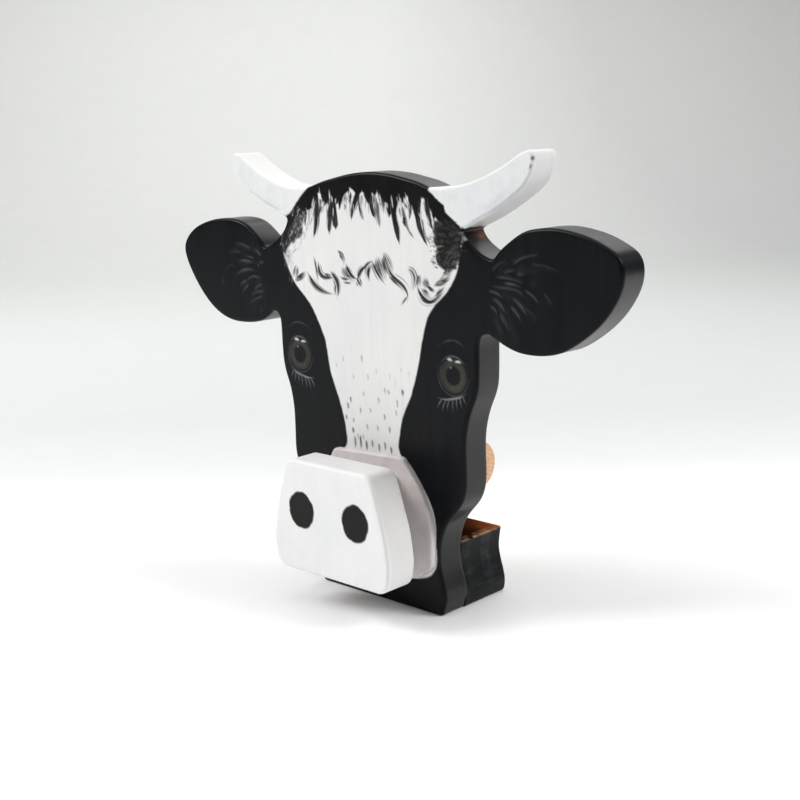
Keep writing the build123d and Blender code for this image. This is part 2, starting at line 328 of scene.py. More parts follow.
    def detail(self, cell):
        """Cells of the given size where the paint changes."""
        k = int(round(cell / self.res))
        h, w = self.h // k * k, self.w // k * k
        v = np.sqrt(self.rgb[:h, :w].mean(2)).reshape(h // k, k, w // k, k).mean((1, 3))
        gz, gx = np.gradient(v)
        return np.hypot(gx, gz)


def grow(mask, n):
    for _ in range(n):
        m = mask.copy()
        m[1:] |= mask[:-1]
        m[:-1] |= mask[1:]
        m[:, 1:] |= mask[:, :-1]
        m[:, :-1] |= mask[:, 1:]
        mask = m
    return mask


def scattered(canvas, fine, limit, coarse, threshold=0.035):
    """Points for the mesh: close together where the paint has detail, far apart elsewhere."""
    g = canvas.detail(fine)
    hot = grow(g > threshold, 1)
    painted_light_orange = grow(hot, 3) & ~hot
    iz, ix = np.nonzero(hot)
    pts = [np.stack([canvas.x0 + (ix + 0.5) * fine, canvas.z0 + (iz + 0.5) * fine], 1)]
    iz, ix = np.nonzero(painted_light_orange)
    keep = (iz % 2 == 0) & (ix % 2 == 0)
    pts.append(np.stack([canvas.x0 + (ix[keep] + 0.5) * fine, canvas.z0 + (iz[keep] + 0.5) * fine], 1))
    k = int(round(coarse / fine))
    cold = ~(hot | painted_light_orange)
    iz, ix = np.nonzero(cold)
    keep = (iz % k == 0) & (ix % k == (iz // k % 2) * (k // 2))
    pts.append(np.stack([canvas.x0 + (ix[keep] + 0.5) * fine, canvas.z0 + (iz[keep] + 0.5) * fine], 1))
    return pts


# ------------------------------------------------------------------ slabs with sanded edges
def within(loop, pts):
    """Which of the points lie inside the closed loop."""
    x, z = pts[:, 0], pts[:, 1]
    hit = np.zeros(len(pts), bool)
    for i in range(len(loop)):
        xa, za = loop[i - 1]
        xb, zb = loop[i]
        if za == zb:
            continue
        hit ^= ((za > z) != (zb > z)) & (x < (xb - xa) * (z - za) / (zb - za) + xa)
    return hit


def distance_tree(loop):
    q = np.vstack([loop, loop[:1]])
    dense = []
    for a, b in zip(q[:-1], q[1:]):
        n = max(1, int(np.linalg.norm(b - a) / 0.08))
        dense.extend(a + (b - a) * k / n for k in range(n))
    kd = KDTree(len(dense))
    for i, p in enumerate(dense):
        kd.insert((p[0], p[1], 0), i)
    kd.balance()
    return kd


def plate(loop, radius, pts, spacing):
    """Triangulates a face. Returns its points, their depth below the face and the triangles."""
    kd = distance_tree(loop)
    t = np.roll(loop, -1, 0) - np.roll(loop, 1, 0)
    t /= np.linalg.norm(t, axis=1, keepdims=True)
    inward = np.stack([-t[:, 1], t[:, 0]], 1)
    rings = [radius * f for f in (0.07, 0.24, 0.5, 0.8, 1.08)] if radius else [spacing * 0.7]
    chosen = [tuple(p) for p in loop]
    depth = [0.0] * len(loop)
    for d in rings:
        last = None
        for p, n in zip(loop, inward):
            q = p + n * d
            if last is not None and np.linalg.norm(q - last) < 0.45 * spacing:
                continue
            if kd.find((q[0], q[1], 0))[2] < d * 0.96 - 0.005:
                continue
            chosen.append(tuple(q))
            depth.append(d)
            last = q
    edge = rings[-1]
    inner = pts[within(loop, pts)]
    for q in inner:
        d = kd.find((q[0], q[1], 0))[2]
        if d > edge + 0.22:
            chosen.append(tuple(q))
            depth.append(d)
    n = len(loop)
    res = delaunay_2d_cdt([Vector(p) for p in chosen], [(i, (i + 1) % n) for i in range(n)], [], 0, 1e-5, True)
    verts, faces, origin = res[0], res[2], res[3]
    dep = [depth[o[0]] if o else 0.0 for o in origin]
    xy = np.array([(v.x, v.y) for v in verts])
    tri = np.array([list(f) for f in faces])
    tri = tri[within(loop, xy[tri].mean(1))]
    index = {}
    for k, o in enumerate(origin):
        for j in o:
            index[j] = k
    rim = [index[i] for i in range(n)]
    return xy, np.array(dep), tri.tolist(), rim


def drop(depth, radius):
    if not radius:
        return np.zeros_like(depth)
    d = np.clip(depth, 0, radius)
    return radius - np.sqrt(np.maximum(radius ** 2 - (radius - d) ** 2, 0))


def slab(name, loop, y0, y1, r0, r1, front_pts, back_pts, rows, spacing, wall=None):
    """A sawn and sanded block: front plate at y0, back plate at y1, wall between. Millimetres in, metres out."""
    fxy, fd, ftri, frim = plate(loop, r0, front_pts, spacing)
    bxy, bd, btri, brim = plate(loop, r1, back_pts, spacing)
    fy = y0 + drop(fd, r0)
    by = y1 - drop(bd, r1)
    verts = [(x, y, z) for (x, z), y in zip(fxy, fy)]
    kind = [0] * len(verts)
    nb = len(verts)
    verts += [(x, y, z) for (x, z), y in zip(bxy, by)]
    kind += [1] * len(bxy)
    faces = [list(f) for f in ftri] + [[nb + i for i in reversed(f)] for f in btri]
    prev = frim
    n = len(loop)
    t = np.roll(loop, -1, 0) - np.roll(loop, 1, 0)
    t /= np.linalg.norm(t, axis=1, keepdims=True)
    inward = np.stack([-t[:, 1], t[:, 0]], 1)
    for k in range(1, rows):
        y = (y0 + r0) + (y1 - r1 - y0 - r0) * k / rows
        base = len(verts)
        dent = wall(loop, y, k / rows) if wall is not None else np.zeros(n)
        p = loop + inward * dent[:, None]
        verts += [(a, y, b) for a, b in p]
        kind += [2] * n
        cur = list(range(base, base + n))
        for i in range(n):
            j = (i + 1) % n
            faces.append([prev[j], prev[i], cur[i], cur[j]])
        prev = cur
    cur = [nb + i for i in brim]
    for i in range(n):
        j = (i + 1) % n
        faces.append([prev[j], prev[i], cur[i], cur[j]])
    mesh = bpy.data.meshes.new(name)
    mesh.from_pydata([Vector(v) * MM for v in verts], [], faces)
    bm = bmesh.new()
    bm.from_mesh(mesh)
    loose = [v for v in bm.verts if not v.link_faces]
    bmesh.ops.recalc_face_normals(bm, faces=bm.faces)
    bm.to_mesh(mesh)
    bm.free()
    mesh.polygons.foreach_set("use_smooth", [True] * len(mesh.polygons))
    mesh.update()
    obj = bpy.data.objects.new(name, mesh)
    bpy.context.scene.collection.objects.link(obj)
    return obj, np.array(verts), np.array(kind)


def put_paint(obj, rgb, cover, sheen=None):
    me = obj.data
    at = me.attributes.new("paint", "FLOAT_COLOR", "POINT")
    at.data.foreach_set("color", np.hstack([rgb, np.ones((len(rgb), 1))]).astype(np.float32).ravel())
    at = me.attributes.new("cover", "FLOAT", "POINT")
    at.data.foreach_set("value", cover.astype(np.float32))
    at = me.attributes.new("sheen", "FLOAT", "POINT")
    at.data.foreach_set("value", (np.ones(len(rgb)) if sheen is None else sheen).astype(np.float32))


def grid_points(loop, step):
    lo, hi = loop.min(0), loop.max(0)
    xs, zs = np.arange(lo[0], hi[0], step), np.arange(lo[1], hi[1], step * 0.87)
    return np.array([(x + (step / 2 if k % 2 else 0), z) for k, z in enumerate(zs) for x in xs])


# ------------------------------------------------------------------ dimensions in mm
YB0, YB1 = -4.35, 6.15
YP0 = YB0 - 2.0
YS0 = YB0 - 9.5
YM0 = YS0 - 11.3
YF1 = YB1 + 19.0

BLACK = (0.0040, 0.0046, 0.0054)
WHITE = (0.840, 0.840, 0.828)
INK = (0.0065, 0.006, 0.0055)

# ================================================================== head board
board_loop = joined([SIDE_R, NOTCH_R, HORN_R, CROWN, HORN_L, NOTCH_L, SIDE_L,
                     [(-25.7, 1.7), (-25.2, 0.0)], [(-25.2, 0.0), (25.2, 0.0)], [(25.2, 0.0), (25.7, 1.7)]], 0.56)
board_loop = soften(even(board_loop, 0.56), 3)
board_loop[:, 1] = np.maximum(board_loop[:, 1], 0.0)

cv = Canvas(-90, 90, -1, 138, 0.125)
cv.rgb[:] = BLACK
whole = (slice(0, cv.h), slice(0, cv.w))


def mirror(points):
    return [(-p[0],) + tuple(p[1:]) for p in points]


# white face: crown, blaze and the field round the muzzle, brushed with a slightly uneven edge
BLAZE_R = [(30.2, 125), (35.8, 119.9), (37.9, 116.3), (36.8, 113), (36.2, 109), (33.8, 103.8), (31.0, 100.2), (27, 96.8),
           (23.4, 92), (21.5, 86), (20, 80), (18, 73), (15.1, 66), (12.2, 60), (10.7, 54), (10.2, 50.4), (11.2, 48.3),
           (14.1, 46.5), (16.9, 43.8), (20.4, 39.1), (24.5, 31.5), (25.1, 25.2), (25, 21), (24.6, 14.4),
           (21.8, 11.0), (18.7, 9.8)]
BLAZE_L = [(-18.7, 9.8), (-21.8, 11.0), (-24.6, 14.4), (-25, 21), (-25.1, 25.2), (-24.5, 31.5), (-20.4, 39.1),
           (-16.9, 43.8), (-14.6, 46.2), (-12.8, 48.3), (-12.7, 52), (-13.8, 58), (-16.8, 66), (-19.0, 72), (-19.8, 76),
           (-21, 82), (-24, 88), (-28.4, 94.4), (-33.5, 98.8), (-37.2, 104.4), (-39.1, 109), (-39.5, 115),
           (-37.4, 118.3), (-34.8, 121.7), (-30, 126), (-24, 128.7), (-12, 131), (0, 132), (12, 131), (24, 128.7)]


def closed_curve(points, step=0.4):
    p = mm(points)
    return spline(p + [p[0]], step)


cv.fill(closed_curve(BLAZE_R + BLAZE_L), WHITE, wob=0.16, seed=11, size=2.2, white=1.0)

# horns: white with a cool tint, strokes run along the horn
HORN_FIELD_R = [(24.6, 132.5), (25.2, 130.2), (27.6, 128.2), (30.9, 125.9), (31.4, 124.0), (33.8, 122.3), (36.4, 120.4),
                (37.2, 119.0), (36.4, 116.0), (50, 118), (72, 130), (72, 146), (40, 146), (24.6, 140)]
HORN_FIELD_L = [(-26.2, 140), (-40, 146), (-72, 146), (-72, 130), (-50, 118), (-37.0, 117.2), (-36.2, 120.2),
                (-34.8, 122.2), (-33.0, 124.4), (-30.2, 127.2), (-28.0, 129.0), (-26.4, 130.2)]
for k, field in enumerate((HORN_FIELD_R, HORN_FIELD_L)):
    cv.fill(mm(field), (0.835, 0.840, 0.842), wob=0.22, seed=21 + k, size=1.6, white=1.0)
for s, seed in ((1, 31), (-1, 37)):
    rng = np.random.RandomState(seed)
    for k in range(46):
        u = rng.rand()
        v = rng.rand()
        x0 = 30 + 26 * rng.rand()
        lo, hi = np.interp(x0, [30, 40, 50, 60], [124, 121, 125.5, 132]), np.interp(x0, [30, 40, 50, 60], [130.5, 132, 136, 140.5])
        z0 = lo + (hi - lo) * v
        slope = np.interp(x0, [30, 40, 50, 60], [0.02, 0.28, 0.5, 0.7])
        ln = 4 + 7 * rng.rand()
        tone = 0.70 + 0.18 * rng.rand()
        cool = (tone * 0.97, tone * 0.985, tone * 1.03) if rng.rand() < 0.6 else (tone, tone, tone * 0.975)
        cv.stroke(mm([(s * x0, z0), (s * (x0 + ln / 2), z0 + slope * ln / 2 + 0.2), (s * (x0 + ln), z0 + slope * ln * 1.12)]),
                  0.5 + 1.1 * rng.rand(), cool, alpha=0.16 + 0.2 * rng.rand(), dry=0.6, seed=seed + k, fade=(0.25, 0.3))
# lavender-grey line under each horn, partly thin paint at the edge and partly painted shade along the lower edge, and
# two small dark chips at the right tip
cv.stroke(mm([(39, 120.5), (45, 123.2), (50, 125.6), (55, 128.6), (60, 132.4), (62.6, 136)]), 0.75, (0.50, 0.50, 0.56), alpha=0.5, dry=0.5, seed=5, fade=(0.1, 0.1))
cv.stroke(mm([(44, 124.4), (50, 127.4), (55.5, 131.0)]), 1.9, (0.56, 0.57, 0.66), alpha=0.30, dry=0.5, seed=6, fade=(0.3, 0.3))
cv.stroke(mm([(-39, 122.6), (-45, 124.8), (-50, 127.0), (-56, 130.2)]), 0.9, (0.45, 0.49, 0.55), alpha=0.42, dry=0.6, seed=7, fade=(0.1, 0.2))
cv.stroke(mm([(63.1, 139.8), (63.0, 138.6)]), 0.7, (0.07, 0.065, 0.06), alpha=0.85, tip=0.2, root=0.2)
cv.stroke(mm([(62.6, 137.6), (62.2, 136.2)]), 0.55, (0.10, 0.09, 0.085), alpha=0.75, tip=0.3, root=0.2)

# ---- forelock ----
CAP = [(40, 117.8), (38.6, 117.6), (36.8, 118.6), (34.5, 119.8), (31.6, 120.6), (29.2, 121.2), (27.7, 122.4), (27.0, 121.2), (26.3, 123.6),
       (25.2, 125.6), (24.4, 127.6), (22.9, 127.9), (21.7, 127.0), (21.4, 124.0), (20.4, 121.0), (19.3, 123.4), (18.7, 125.4), (17.7, 126.3),
       (16.9, 128.4), (15.7, 127.4), (14.9, 126.0), (14.0, 127.9), (13.2, 126.6), (12.3, 123.9), (11.5, 122.4), (10.7, 125.3), (10.2, 123.1),
       (9.1, 122.0), (8.2, 124.4), (7.2, 126.1), (6.1, 127.9), (4.6, 129.2), (3.1, 128.4), (2.0, 129.6), (0.4, 126.0), (-0.6, 128.8),
       (-2.1, 129.4), (-3.6, 128.2), (-5.0, 129.0), (-6.1, 129.9), (-7.3, 130.6), (-8.4, 129.2), (-9.8, 128.4), (-10.8, 126.4), (-12.0, 124.4),
       (-12.7, 125.9), (-13.7, 125.2), (-15.0, 126.9), (-16.2, 129.2), (-17.1, 126.0), (-18.6, 125.0), (-19.8, 126.0), (-20.4, 128.8),
       (-21.4, 128.8), (-22.6, 127.2), (-23.4, 125.8), (-24.7, 124.0), (-26.3, 123.6), (-27.6, 121.6), (-29.0, 121.9), (-31.0, 121.3),
       (-33.2, 120.2), (-35.5, 118.2), (-38, 117.0), (-42, 117),
       (-40, 121), (-36.8, 121.3), (-35.0, 122.2), (-33.2, 124.4), (-30.4, 127.2), (-28.2, 129.0), (-26.6, 130.2), (-26.4, 134),
       (0, 140), (24.8, 134), (25.4, 130.2), (27.8, 128.2), (31.1, 125.9), (31.6, 124.0), (34.0, 122.3), (36.6, 120.4), (38.4, 119.4)]
cv.fill(mm(CAP), INK, wob=0.20, seed=41, size=0.9, white=0.0)

HAIR = [  # points, width mm, alpha, dryness
    ([(24.2, 128.5), (24.9, 124.6), (25.8, 121.0), (26.8, 118.2)], (1.5, 1.3, 0.9, 0.4), 1.0, 0.15),
    ([(21.4, 127.0), (21.0, 122.0), (22.0, 118.2), (24.6, 113.8)], (1.7, 1.5, 1.3, 0.6), 1.0, 0.2),
    ([(22.6, 121.6), (23.4, 118.4), (25.8, 114.2)], (0.5, 0.5, 0.3), 0.7, 0.3),
    ([(17.6, 128.5), (17.9, 124.6), (17.3, 121.2)], (1.2, 0.8, 0.3), 0.95, 0.2),
    ([(18.8, 126.5), (20.2, 123.0), (20.3, 120.4)], (1.0, 0.8, 0.4), 0.9, 0.2),
    ([(13.8, 127.4), (14.8, 124.4), (16.2, 120.2), (17.2, 118.2), (19.2, 116.0)], (0.8, 0.6, 0.9, 0.5, 0.9), 0.72, 0.45),
    ([(15.6, 126.4), (17.0, 124.6)], (0.7, 0.4), 0.8, 0.2),
    ([(15.3, 121.6), (15.6, 119.4)], (1.1, 0.6), 0.8, 0.35),
    ([(10.6, 128.0), (11.0, 122.4), (12.2, 117.8), (13.2, 113.8)], (1.5, 1.5, 1.7, 0.7), 1.0, 0.12),
    ([(11.8, 124.6), (12.0, 121.0)], (0.7, 0.4), 0.9, 0.2),
    ([(3.4, 128.8), (4.2, 124.0), (4.8, 121.0), (5.2, 118.6)], (1.3, 0.9, 1.1, 0.5), 0.66, 0.45),
    ([(5.4, 128.6), (6.6, 125.4), (6.9, 123.0)], (1.4, 0.8, 0.4), 0.6, 0.5),
    ([(1.4, 129.4), (1.9, 125.0), (2.6, 122.8), (3.3, 121.4)], (1.5, 1.5, 1.2, 0.5), 1.0, 0.15),
    ([(-0.8, 129.6), (0.2, 127.2), (0.6, 125.6)], (1.1, 0.9, 0.3), 0.95, 0.15),
    ([(-3.6, 126.6), (-2.8, 123.6), (-1.7, 120.8)], (0.5, 0.6, 1.0), 0.6, 0.4),
    ([(-3.6, 129.6), (-5.0, 126.6), (-6.4, 123.6), (-7.1, 120.6)], (1.8, 1.6, 1.2, 0.6), 1.0, 0.12),
    ([(-7.6, 129.8), (-6.9, 126.8)], (1.0, 0.5), 0.9, 0.2),
    ([(-9.2, 128.0), (-9.0, 126.0)], (1.2, 0.5), 0.4, 0.5),
    ([(-11.9, 127.0), (-12.2, 123.6)], (1.1, 0.4), 0.8, 0.3),
    ([(-14.4, 127.0), (-14.5, 122.0), (-14.2, 119.2), (-14.1, 117.6)], (1.2, 2.3, 2.2, 1.9), 1.0, 0.14),
    ([(-16.3, 128.6), (-16.5, 122.6), (-17.0, 118.6), (-17.2, 115.8)], (1.2, 1.4, 1.6, 0.9), 0.92, 0.3),
    ([(-22.2, 128.0), (-22.6, 123.0), (-23.2, 119.0), (-24.5, 114.4)], (1.2, 1.5, 1.5, 0.7), 1.0, 0.18),
    ([(-20.2, 126.4), (-20.8, 123.6), (-21.9, 121.4)], (0.9, 0.6, 0.4), 0.8, 0.35),
    ([(-18.6, 126.4), (-19.2, 124.4)], (0.9, 0.4), 0.8, 0.2),
    ([(-25.4, 125.0), (-26.2, 121.0), (-25.6, 118.0)], (0.6, 0.4, 0.3), 0.4, 0.5),
    ([(-27.4, 122.4), (-28.2, 119.6), (-28.0, 118.0)], (0.9, 0.7, 0.4), 0.7, 0.45),
]
for k, (pts, w, al, dry) in enumerate(HAIR):
    core = [v * U * 1.12 for v in w]
    cv.stroke(mm(pts), core, INK, alpha=min(1.0, al * 1.12), dry=dry * 0.32, seed=60 + k, tip=0.16, root=0.0)
    cv.tuft(mm(pts), [v * U * 1.7 for v in w], (0.005, 0.014), 7 if max(w) > 0.9 else 4, 900 + k, alpha=min(1.0, 1.05 * al), hair=(0.26, 0.46))
    if max(w) > 1.4:        # pale gaps between the bristles
        cv.tuft(mm(pts), [v * U * 1.1 for v in w], (0.25, 0.6), 1, 950 + k, alpha=0.35, hair=(0.14, 0.20), late=0.5)
# loose short hairs along the lower edge of the black mass
for k in range(120):
    rng = np.random.RandomState(1000 + k)
    x = rng.uniform(-25.5, 25.5)
    z = 127.6 - 0.0042 * x * x + rng.uniform(-2.6, 1.8)
    lean = -0.05 - 0.028 * x * 0.6 + rng.uniform(-0.16, 0.16)
    ln = rng.uniform(1.6, 4.2)
    dark = rng.rand() < 0.66
    tone = rng.uniform(0.006, 0.05) if dark else rng.uniform(0.45, 0.78)
    cv.stroke(mm([(x, z), (x - lean * ln * 0.4, z - ln * 0.5), (x - lean * ln, z - ln)]), rng.uniform(0.2, 0.42), (tone, tone, tone * 0.98),
              alpha=rng.uniform(0.5, 0.95), tip=0.5, root=0.2, fade=(0.1, 0.2), white=None if dark else 1.0)
# white hairs dragged back up through the black
for k, (pts, w) in enumerate([([(-20.6, 126.6), (-21.0, 130.6)], 0.45), ([(-24.6, 124.4), (-23.6, 127.6)], 0.5), ([(-16.3, 127.0), (-16.4, 130.0)], 0.5),
                              ([(-7.6, 128.0), (-7.0, 130.9)], 0.45), ([(-1.6, 128.0), (-2.0, 130.0)], 0.35), ([(3.8, 127.4), (4.6, 130.0)], 0.45),
                              ([(6.0, 125.8), (5.4, 129.2)], 0.4), ([(10.8, 124.8), (10.4, 128.6)], 0.4), ([(14.6, 124.8), (13.4, 128.9)], 0.5),
                              ([(17.0, 126.4), (16.0, 129.4)], 0.45), ([(23.2, 120.6), (22.4, 128.2)], 0.85), ([(24.4, 116.2), (23.0, 122.0)], 1.0),
                              ([(27.6, 118.4), (26.6, 122.4)], 0.55), ([(-26.4, 121.6), (-27.6, 124.0)], 0.4), ([(-12.9, 123.0), (-12.6, 126.2)], 0.35)]):
    cv.stroke(mm(pts), w * U, WHITE, alpha=0.85, dry=0.35, seed=120 + k, tip=0.5, root=0.2, white=1.0)

# dry-brushed dark patches at both sides of the forelock
mott = Lattice(77)


def mottle(amount, size, gain=1.0):
    def f(x, z):
        n = mott.fractal(x + 300 + 0.6 * z, z * 1.6 + 300, size, 3)
        return np.clip(smooth(amount - 0.16, amount + 0.12, n) * gain, 0, 1)
    return f


PATCH_L = [(-27.8, 122.8), (-31.5, 124.6), (-35.4, 122.6), (-37.6, 119.6), (-39.6, 116.0), (-40.2, 112.2), (-39.4, 109.4), (-38.2, 109.2),
           (-36.8, 111.4), (-35.0, 112.8), (-33.0, 113.8), (-31.0, 114.6), (-29.6, 116.8), (-28.6, 119.6)]
PATCH_R = [(26.9, 120.8), (30.5, 122.2), (34.4, 121.4), (37.2, 118.4), (38.1, 116.2), (37.0, 113.4), (36.5, 110.6), (35.0, 108.0), (31.8, 107.4),
           (29.0, 108.4), (27.5, 111.0), (27.9, 112.6), (27.2, 115.0), (26.8, 118.0)]
cv.fill(mm(PATCH_L), (0.014, 0.014, 0.013), alpha=0.93, wob=0.7, seed=51, size=1.5, soft=5, white=0.3)
cv.fill(mm([(-36.5, 121.8), (-38.6, 118.0), (-40.2, 112.0), (-38.8, 110.5), (-37.4, 114.0), (-34.6, 118.6), (-33.4, 121.6)]), INK, alpha=0.85,
        wob=0.7, seed=54, size=1.2, soft=4, white=0.0)
cv.fill(mm([(-39.9, 111), (-38.0, 112.0), (-36.4, 109.8), (-36.0, 106.6), (-38.4, 104.6)]), (0.16, 0.16, 0.155), alpha=0.45, wob=0.8, seed=55,
        size=1.4, soft=7, texture=mottle(0.38, 1.4))


def fur(area_, count, seed, tones, lean, length=(0.8, 2.2), hair=(0.22, 0.45), alpha=(0.45, 0.95), weight=None, tint=(1, 1, 1)):
    """Short dabs of a nearly dry brush, scattered inside an outline."""
    rng = np.random.RandomState(seed)
    poly = np.array(area_, float)
    lo, hi = poly.min(0), poly.max(0)
    done = 0
    while done < count:
        q = np.array([[rng.uniform(lo[0], hi[0]), rng.uniform(lo[1], hi[1])]])
        if not within(poly, q)[0]:
            continue
        x, z = q[0]
        if weight is not None and rng.rand() > weight(x, z):
            continue
        a = math.radians(lean(x, z) + rng.uniform(-24, 24))
        ln = rng.uniform(*length)
        tone = tones[0] * (tones[1] / tones[0]) ** rng.rand()
        cv.stroke(mm([(x, z), (x + 0.5 * ln * math.cos(a) + rng.uniform(-0.12, 0.12), z + 0.5 * ln * math.sin(a)),
                      (x + ln * math.cos(a), z + ln * math.sin(a))]), rng.uniform(*hair), tuple(tone * c for c in tint), alpha=rng.uniform(*alpha),
                  tip=0.5, root=0.3)
        done += 1


def lean_l(x, z):
    return -112 + 2.4 * (z - 116)


fur(PATCH_L, 190, 62, (0.005, 0.016), lean_l, weight=lambda x, z: 0.35 + 0.65 * float(smooth(-29.0, -36.0, np.array(x))))
fur(PATCH_L, 62, 61, (0.35, 0.75), lean_l, length=(0.4, 1.3), hair=(0.20, 0.30), alpha=(0.45, 0.9),
    weight=lambda x, z: 0.10 + 0.90 * float(smooth(-37.5, -29.0, np.array(x))))
fur([(-37.5, 110), (-30.5, 114.6), (-27.5, 118.6), (-26.0, 123.0), (-24.4, 121.5), (-27.5, 115.5), (-32.0, 111.0), (-36.4, 106.5)], 55, 63, (0.02, 0.30),
    lean_l, length=(0.7, 1.8), hair=(0.16, 0.28), alpha=(0.25, 0.7))
fur([(-37.0, 101.5), (-35.2, 100.2), (-32.0, 104.0), (-34.0, 108.5), (-38.2, 108.8), (-38.6, 105.5)], 46, 64, (0.12, 0.45), lambda x, z: -105,
    length=(0.8, 2.4), hair=(0.16, 0.28), alpha=(0.15, 0.45))

cv.fill(mm(PATCH_R), (0.015, 0.012, 0.0095), alpha=0.96, wob=0.8, seed=56, size=1.1, soft=3, white=0.1)
cv.fill(mm([(28.6, 111.8), (33, 113), (36.6, 112.2), (36.3, 109.2), (33.5, 107.6), (30.2, 108.4)]), (0.085, 0.077, 0.070), alpha=0.62, wob=0.6,
        seed=58, size=1.6, soft=7)
TINT = (1.0, 0.86, 0.74)
fur(PATCH_R, 150, 71, (0.005, 0.016), lambda x, z: 12 - 5.5 * (z - 114), length=(1.2, 3.2), hair=(0.3, 0.6), alpha=(0.5, 0.95), tint=TINT)
fur(PATCH_R, 46, 72, (0.04, 0.16), lambda x, z: 14 - 5.5 * (z - 114), length=(0.8, 2.2), hair=(0.18, 0.32), alpha=(0.3, 0.7), tint=(1, 0.86, 0.74))
fur([(25.4, 121.6), (28.2, 121.4), (28.0, 116.0), (28.8, 111.6), (30.6, 108.8), (35.6, 109.2), (36.0, 106.6), (31.0, 106.2), (27.2, 108.0),
     (25.8, 112.0), (25.9, 116.0)], 70, 73, (0.008, 0.05), lambda x, z: 168 - 4.0 * (z - 114), length=(0.7, 2.0), hair=(0.18, 0.34), alpha=(0.5, 0.95), tint=TINT)
for k, (pts, w, t_, al) in enumerate([
        ([(27.2, 119.4), (30.8, 118.4), (34.8, 119.0)], 0.9, 0.010, 0.9), ([(27.6, 117.2), (31.6, 116.4), (37.2, 117.6)], 0.9, 0.010, 0.9),
        ([(27.6, 114.9), (32.6, 114.6), (37.2, 116.2)], 0.9, 0.012, 0.9), ([(27.4, 112.4), (30.0, 113.2), (34.0, 113.0)], 0.8, 0.012, 0.85),
        ([(27.7, 111.4), (28.4, 109.4), (30.6, 107.9), (33.2, 107.8), (35.7, 109.6)], 1.1, 0.009, 0.95),
        ([(36.6, 112.4), (36.9, 115.0), (37.4, 117.2)], 0.9, 0.008, 0.9),
        ([(26.9, 120.4), (27.0, 117.4), (27.1, 114.8)], 0.6, 0.02, 0.7),
        ([(27.4, 113.7), (29.2, 114.1), (30.8, 114.3)], 0.35, 0.45, 0.6), ([(27.7, 112.0), (28.9, 112.7)], 0.35, 0.55, 0.6)]):
    cv.stroke(mm(pts), w * U, (t_, t_ * 0.88, t_ * 0.78), alpha=al, dry=0.35, seed=270 + k, tip=0.35, root=0.25)

